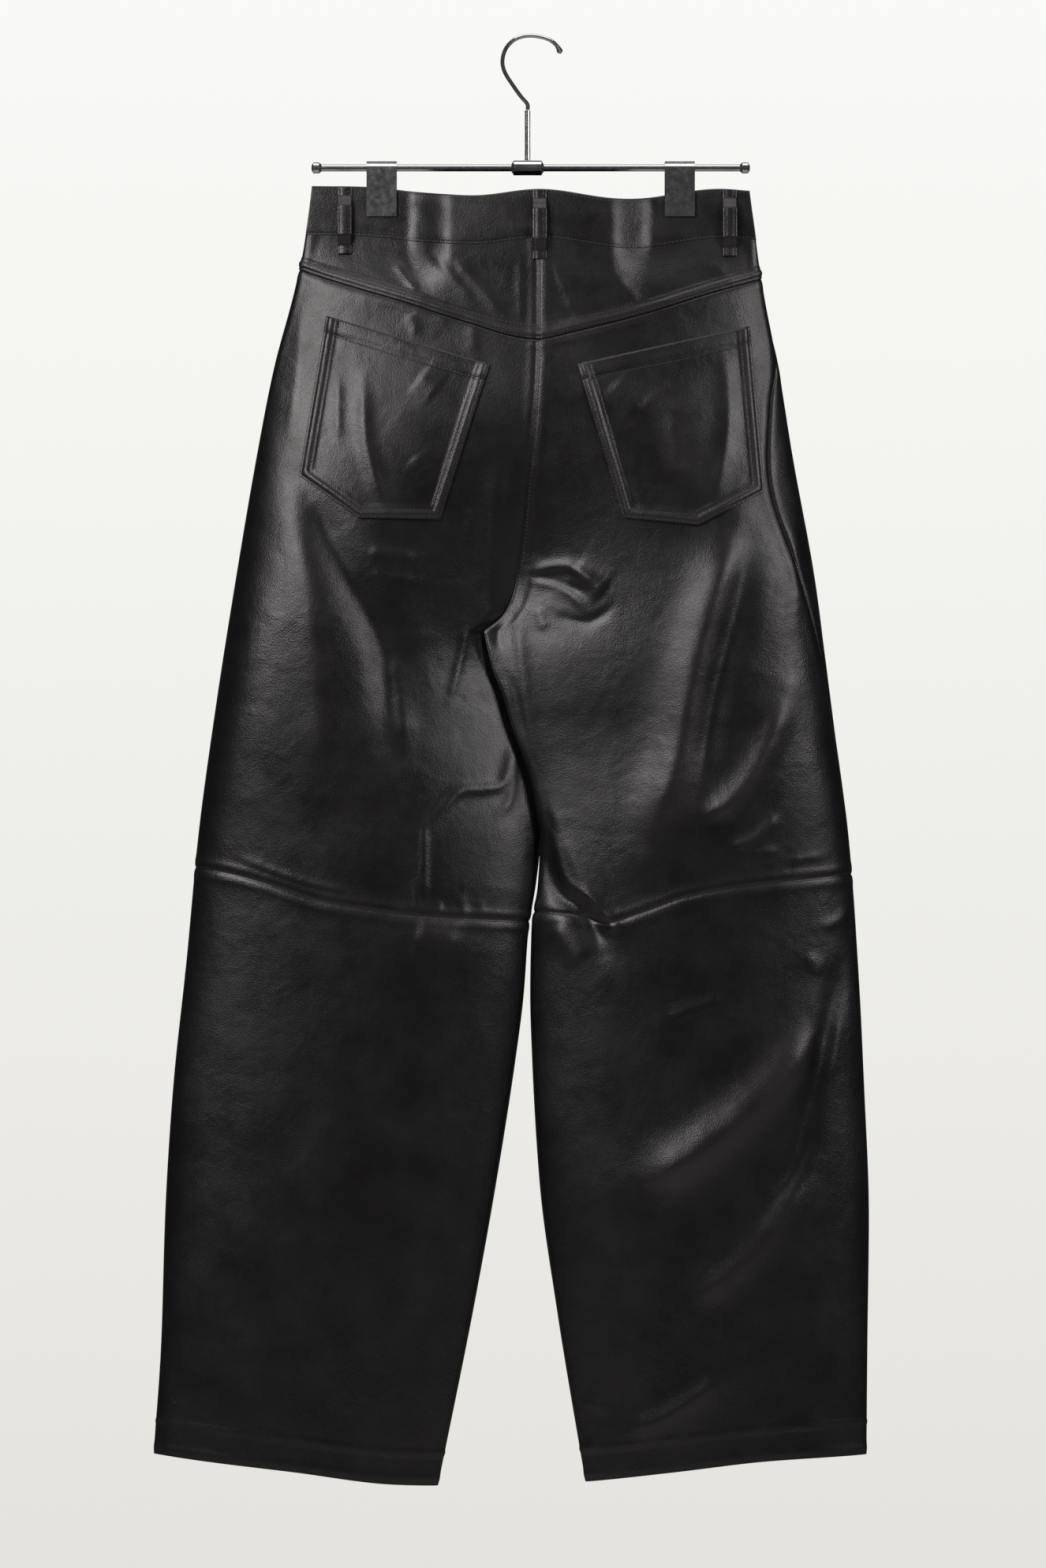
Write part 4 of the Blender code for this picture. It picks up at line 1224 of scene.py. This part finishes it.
@dataclass(frozen=True)
class LeatherFinish:
    """Smooth black leather, fine-grained, and painted greyer where it stands raised: rubbed
    wear at its seam edges, painted highlight on its crease crests.
    """

    name: str = "black_leather"
    base: tuple[float, float, float] = (0.0048, 0.0040, 0.0043)
    # Grey painted on raised places: rubbed wear at seam edges, painted highlight on crease crests.
    rubbed_and_sheen: tuple[float, float, float] = (0.032, 0.029, 0.029)
    low: float = 0.27
    high: float = 0.39
    grain: float = 0.00016
    wrinkle: float = 0.0011

    def build(self) -> bpy.types.Material:
        """Makes the material."""
        material = bpy.data.materials.new(self.name)
        material.use_nodes = True
        tree = material.node_tree
        new, link = tree.nodes.new, tree.links.new
        shader = tree.nodes["Principled BSDF"]
        where = new("ShaderNodeTexCoord")
        group, mottle = new("ShaderNodeGroup"), new("ShaderNodeGroup")
        group.node_tree, mottle.node_tree = grain_group(), speckle_group()
        mottle.inputs["Scale"].default_value = MOTTLES
        mottle.inputs["Low"].default_value = self.low
        mottle.inputs["High"].default_value = self.high
        link(where.outputs["Object"], group.inputs["Vector"])
        link(where.outputs["Object"], mottle.inputs["Vector"])
        link(mottle.outputs["Value"], shader.inputs["Roughness"])
        # Raised places are painted greyer from the point layer: rubbed wear at seams, painted highlight on crease
        # crests.
        wear_and_sheen_node, colour = new("ShaderNodeAttribute"), new("ShaderNodeMix")
        wear_and_sheen_node.attribute_name = "wear_and_sheen"
        colour.data_type = "RGBA"
        colour.inputs[6].default_value = (*self.base, 1)
        colour.inputs[7].default_value = (*self.rubbed_and_sheen, 1)
        span = new("ShaderNodeMapRange")
        span.inputs["From Min"].default_value = 0.15
        span.inputs["From Max"].default_value = 1.2
        link(wear_and_sheen_node.outputs["Fac"], span.inputs["Value"])
        link(span.outputs["Result"], colour.inputs[0])
        link(colour.outputs[2], shader.inputs["Base Color"])
        broad, fine = new("ShaderNodeBump"), new("ShaderNodeBump")
        for node, height, strength in ((broad, self.wrinkle, 0.55), (fine, self.grain, 0.6)):
            node.inputs["Strength"].default_value = strength
            node.inputs["Distance"].default_value = height
        link(group.outputs["Wrinkle"], broad.inputs["Height"])
        link(group.outputs["Grain"], fine.inputs["Height"])
        link(broad.outputs["Normal"], fine.inputs["Normal"])
        link(fine.outputs["Normal"], shader.inputs["Normal"])
        shader.inputs["Specular IOR Level"].default_value = 0.5
        return material


@dataclass(frozen=True)
class ThreadFinish:
    """Black sewing thread."""

    name: str = "black_thread"

    def build(self) -> bpy.types.Material:
        """Makes the material."""
        material = bpy.data.materials.new(self.name)
        material.use_nodes = True
        shader = material.node_tree.nodes["Principled BSDF"]
        shader.inputs["Base Color"].default_value = THREAD_COLOUR
        shader.inputs["Roughness"].default_value = 0.42
        shader.inputs["Sheen Weight"].default_value = 0.3
        return material


@dataclass
class Trousers:
    """All the leather of the trousers, with its stitches."""

    leather: LeatherFinish = field(default_factory=LeatherFinish)
    thread: ThreadFinish = field(default_factory=ThreadFinish)
    loop_stand: float = LOOP_STAND

    def build(self) -> None:
        """Builds every piece of leather and every row of stitches."""
        leather, threads = self.leather.build(), Threads("stitches_trousers")
        left, right = side_edge[LEFT](-140.0), side_edge[RIGHT](-140.0)
        front = float(seat_seam[FRONT](-140.0))
        for node, face, start, end in (
            ("waistband_back", BACK, left, right),
            ("waistband_front_left", FRONT, left, front - HALF_SEAM),
            ("waistband_front_right", FRONT, front + HALF_SEAM, right),
        ):
            Waistband(node, face, float(start), float(end)).build(leather, threads)
        for side, name in ((LEFT, "left"), (RIGHT, "right")):
            knee, hem = knee_seam[side], hem_line[side]
            band = "leather_waistband_back"
            fronts = f"leather_waistband_front_{name}"
            yoke, upper = f"leather_yoke_{name}", f"leather_back_upper_{name}"
            seamed = side == RIGHT
            for panel in (
                Panel(
                    f"yoke_{name}", side, BACK, waist_seam, yoke_seam, 120, 32, (band,), True, seamed
                ),
                Panel(
                    f"back_upper_{name}", side, BACK, yoke_seam, knee, 126, 206, (yoke,), False, seamed
                ),
                Panel(f"back_lower_{name}", side, BACK, knee, hem, 102, 160, (upper,)),
                Panel(f"front_upper_{name}", side, FRONT, waist_seam, knee, 80, 180, (fronts,)),
                Panel(
                    f"front_lower_{name}", side, FRONT, knee, hem, 72, 140, (f"leather_front_upper_{name}",)
                ),
            ):
                panel.build(leather, threads)
            HemBand(f"hem_{name}", side).build(leather)
            PatchPocket(f"pocket_{name}", POCKETS[name]).build(leather, threads)
        for name, loop in LOOPS.items():
            made = BeltLoop(f"loop_{name}", loop.face, loop.x, loop.bottom, self.loop_stand)
            made.build(leather, threads)
        FlyFacing().build(leather, threads)
        threads.build(self.thread.build())


@dataclass
class Hanger:
    """The hanger and the button, whose CAD shapes are kept and refinished."""

    nodes: tuple[str, ...] = ("hanger_hook", "hanger_stem", "hanger_bar", "clip_left", "clip_right")

    def dress(self) -> None:
        """Gives the hanger polished steel, and the button its dark metal."""
        steel = MetalFinish("bright_steel", Metal.STEEL).build()
        button = MetalFinish("dark_button", Metal.BUTTON).build()
        for name in self.nodes + ("button",):
            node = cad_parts[name]
            node.data.materials.clear()
            node.data.materials.append(button if name == "button" else steel)
            LOG.info("%s refinished", name)


@dataclass
class Studio:
    """A pale studio with soft light, and the camera square on to the back of the trousers."""

    distance: float = 6.0
    view: float = 1.2524
    centre: tuple[float, float] = (-0.00315, -0.596)

    def build(self) -> None:
        """Sets the floor, the world, the lights and the camera."""
        self.floor()
        self.world()
        aim = (0.0, 0.0, -0.4)
        self.light("key", (-1.15, -1.9, 0.5), aim, (0.9, 1.5), 35.0)
        self.light("fill", (1.6, -1.75, 0.35), aim, (0.8, 1.5), 21.0)
        self.light("top", (0.0, -0.5, 1.4), aim, (1.6, 1.2), 12.0)
        camera = bpy.data.cameras.new("camera")
        camera.sensor_width = 36.0
        camera.lens = self.distance * camera.sensor_width / self.view
        obj = bpy.data.objects.new("camera", camera)
        obj.location = (self.centre[0], -self.distance, self.centre[1])
        obj.rotation_euler = (math.pi / 2, 0, 0)
        bpy.context.scene.collection.objects.link(obj)
        bpy.context.scene.camera = obj
        bpy.context.scene.view_settings.view_transform = "Standard"

    def light(self, name: str, place: tuple, aim: tuple, size: tuple, power: float) -> None:
        """Adds one soft box aimed at the trousers."""
        lamp = bpy.data.lights.new(name, "AREA")
        lamp.shape = "RECTANGLE"
        lamp.size, lamp.size_y = size
        lamp.energy = power
        lamp.color = (1.0, 0.965, 0.955)
        obj = bpy.data.objects.new(name, lamp)
        obj.location = place
        way = np.array(aim) - np.array(place)
        flat = math.hypot(way[0], way[1])
        tilt, turn = math.atan2(way[2], flat), math.atan2(way[1], way[0])
        obj.rotation_euler = (math.pi / 2 + tilt, 0, turn - math.pi / 2)
        bpy.context.scene.collection.objects.link(obj)

    def floor(self) -> None:
        """Lays a plain pale floor below the hems."""
        mesh = bpy.data.meshes.new("floor")
        corners = [(i * FLOOR_HALF, j * FLOOR_HALF, FLOOR_Z) for i, j in FLOOR_CORNERS]
        mesh.from_pydata(corners, [], [(0, 1, 2, 3)])
        material = bpy.data.materials.new("floor")
        material.use_nodes = True
        shader = material.node_tree.nodes["Principled BSDF"]
        shader.inputs["Base Color"].default_value = (0.72, 0.71, 0.69, 1)
        shader.inputs["Roughness"].default_value = 0.8
        new = material.node_tree.nodes.new
        path, glow = new("ShaderNodeLightPath"), new("ShaderNodeMath")
        glow.operation = "MULTIPLY"
        glow.inputs[1].default_value = 0.72
        shader.inputs["Emission Color"].default_value = (0.92, 0.91, 0.88, 1)
        material.node_tree.links.new(path.outputs["Is Camera Ray"], glow.inputs[0])
        material.node_tree.links.new(glow.outputs[0], shader.inputs["Emission Strength"])
        mesh.materials.append(material)
        obj = bpy.data.objects.new("floor", mesh)
        bpy.context.scene.collection.objects.link(obj)

    def world(self) -> None:
        """A pale backdrop to the eye, which lights the leather less than it looks."""
        world = bpy.data.worlds.new("studio")
        world.use_nodes = True
        tree = world.node_tree
        tree.nodes.clear()
        new, link = tree.nodes.new, tree.links.new
        path, seen, lit = (
            new("ShaderNode" + kind) for kind in ("LightPath", "Background", "Background")
        )
        mix, out = new("ShaderNodeMixShader"), new("ShaderNodeOutputWorld")
        seen.inputs["Strength"].default_value = 1.0
        lit.inputs["Color"].default_value = (0.05, 0.049, 0.05, 1)
        where, split = new("ShaderNodeTexCoord"), new("ShaderNodeSeparateXYZ")
        # Painted shade on the backdrop: darker towards the bottom of the frame, lighter towards its top.
        painted_falloff_ramp = new("ShaderNodeMix")
        painted_falloff_ramp.data_type = "RGBA"
        painted_falloff_ramp.inputs[6].default_value = (0.775, 0.763, 0.73, 1)
        painted_falloff_ramp.inputs[7].default_value = (0.95, 0.952, 0.93, 1)
        span = new("ShaderNodeMapRange")
        span.inputs["From Min"].default_value = -0.105
        span.inputs["From Max"].default_value = 0.105
        link(where.outputs["Generated"], split.inputs[0])
        link(split.outputs["Z"], span.inputs["Value"])
        link(span.outputs["Result"], painted_falloff_ramp.inputs[0])
        link(painted_falloff_ramp.outputs[2], seen.inputs["Color"])
        link(path.outputs["Is Camera Ray"], mix.inputs[0])
        link(lit.outputs[0], mix.inputs[1])
        link(seen.outputs[0], mix.inputs[2])
        link(mix.outputs[0], out.inputs[0])
        bpy.context.scene.world = world


def main() -> None:
    """Builds the trousers over the frame, dresses the hanger and sets the studio."""
    logging.basicConfig(level=logging.INFO, format="%(name)s: %(message)s")
    Trousers().build()
    Hanger().dress()
    Studio().build()


if __name__ == "__main__":
    main()
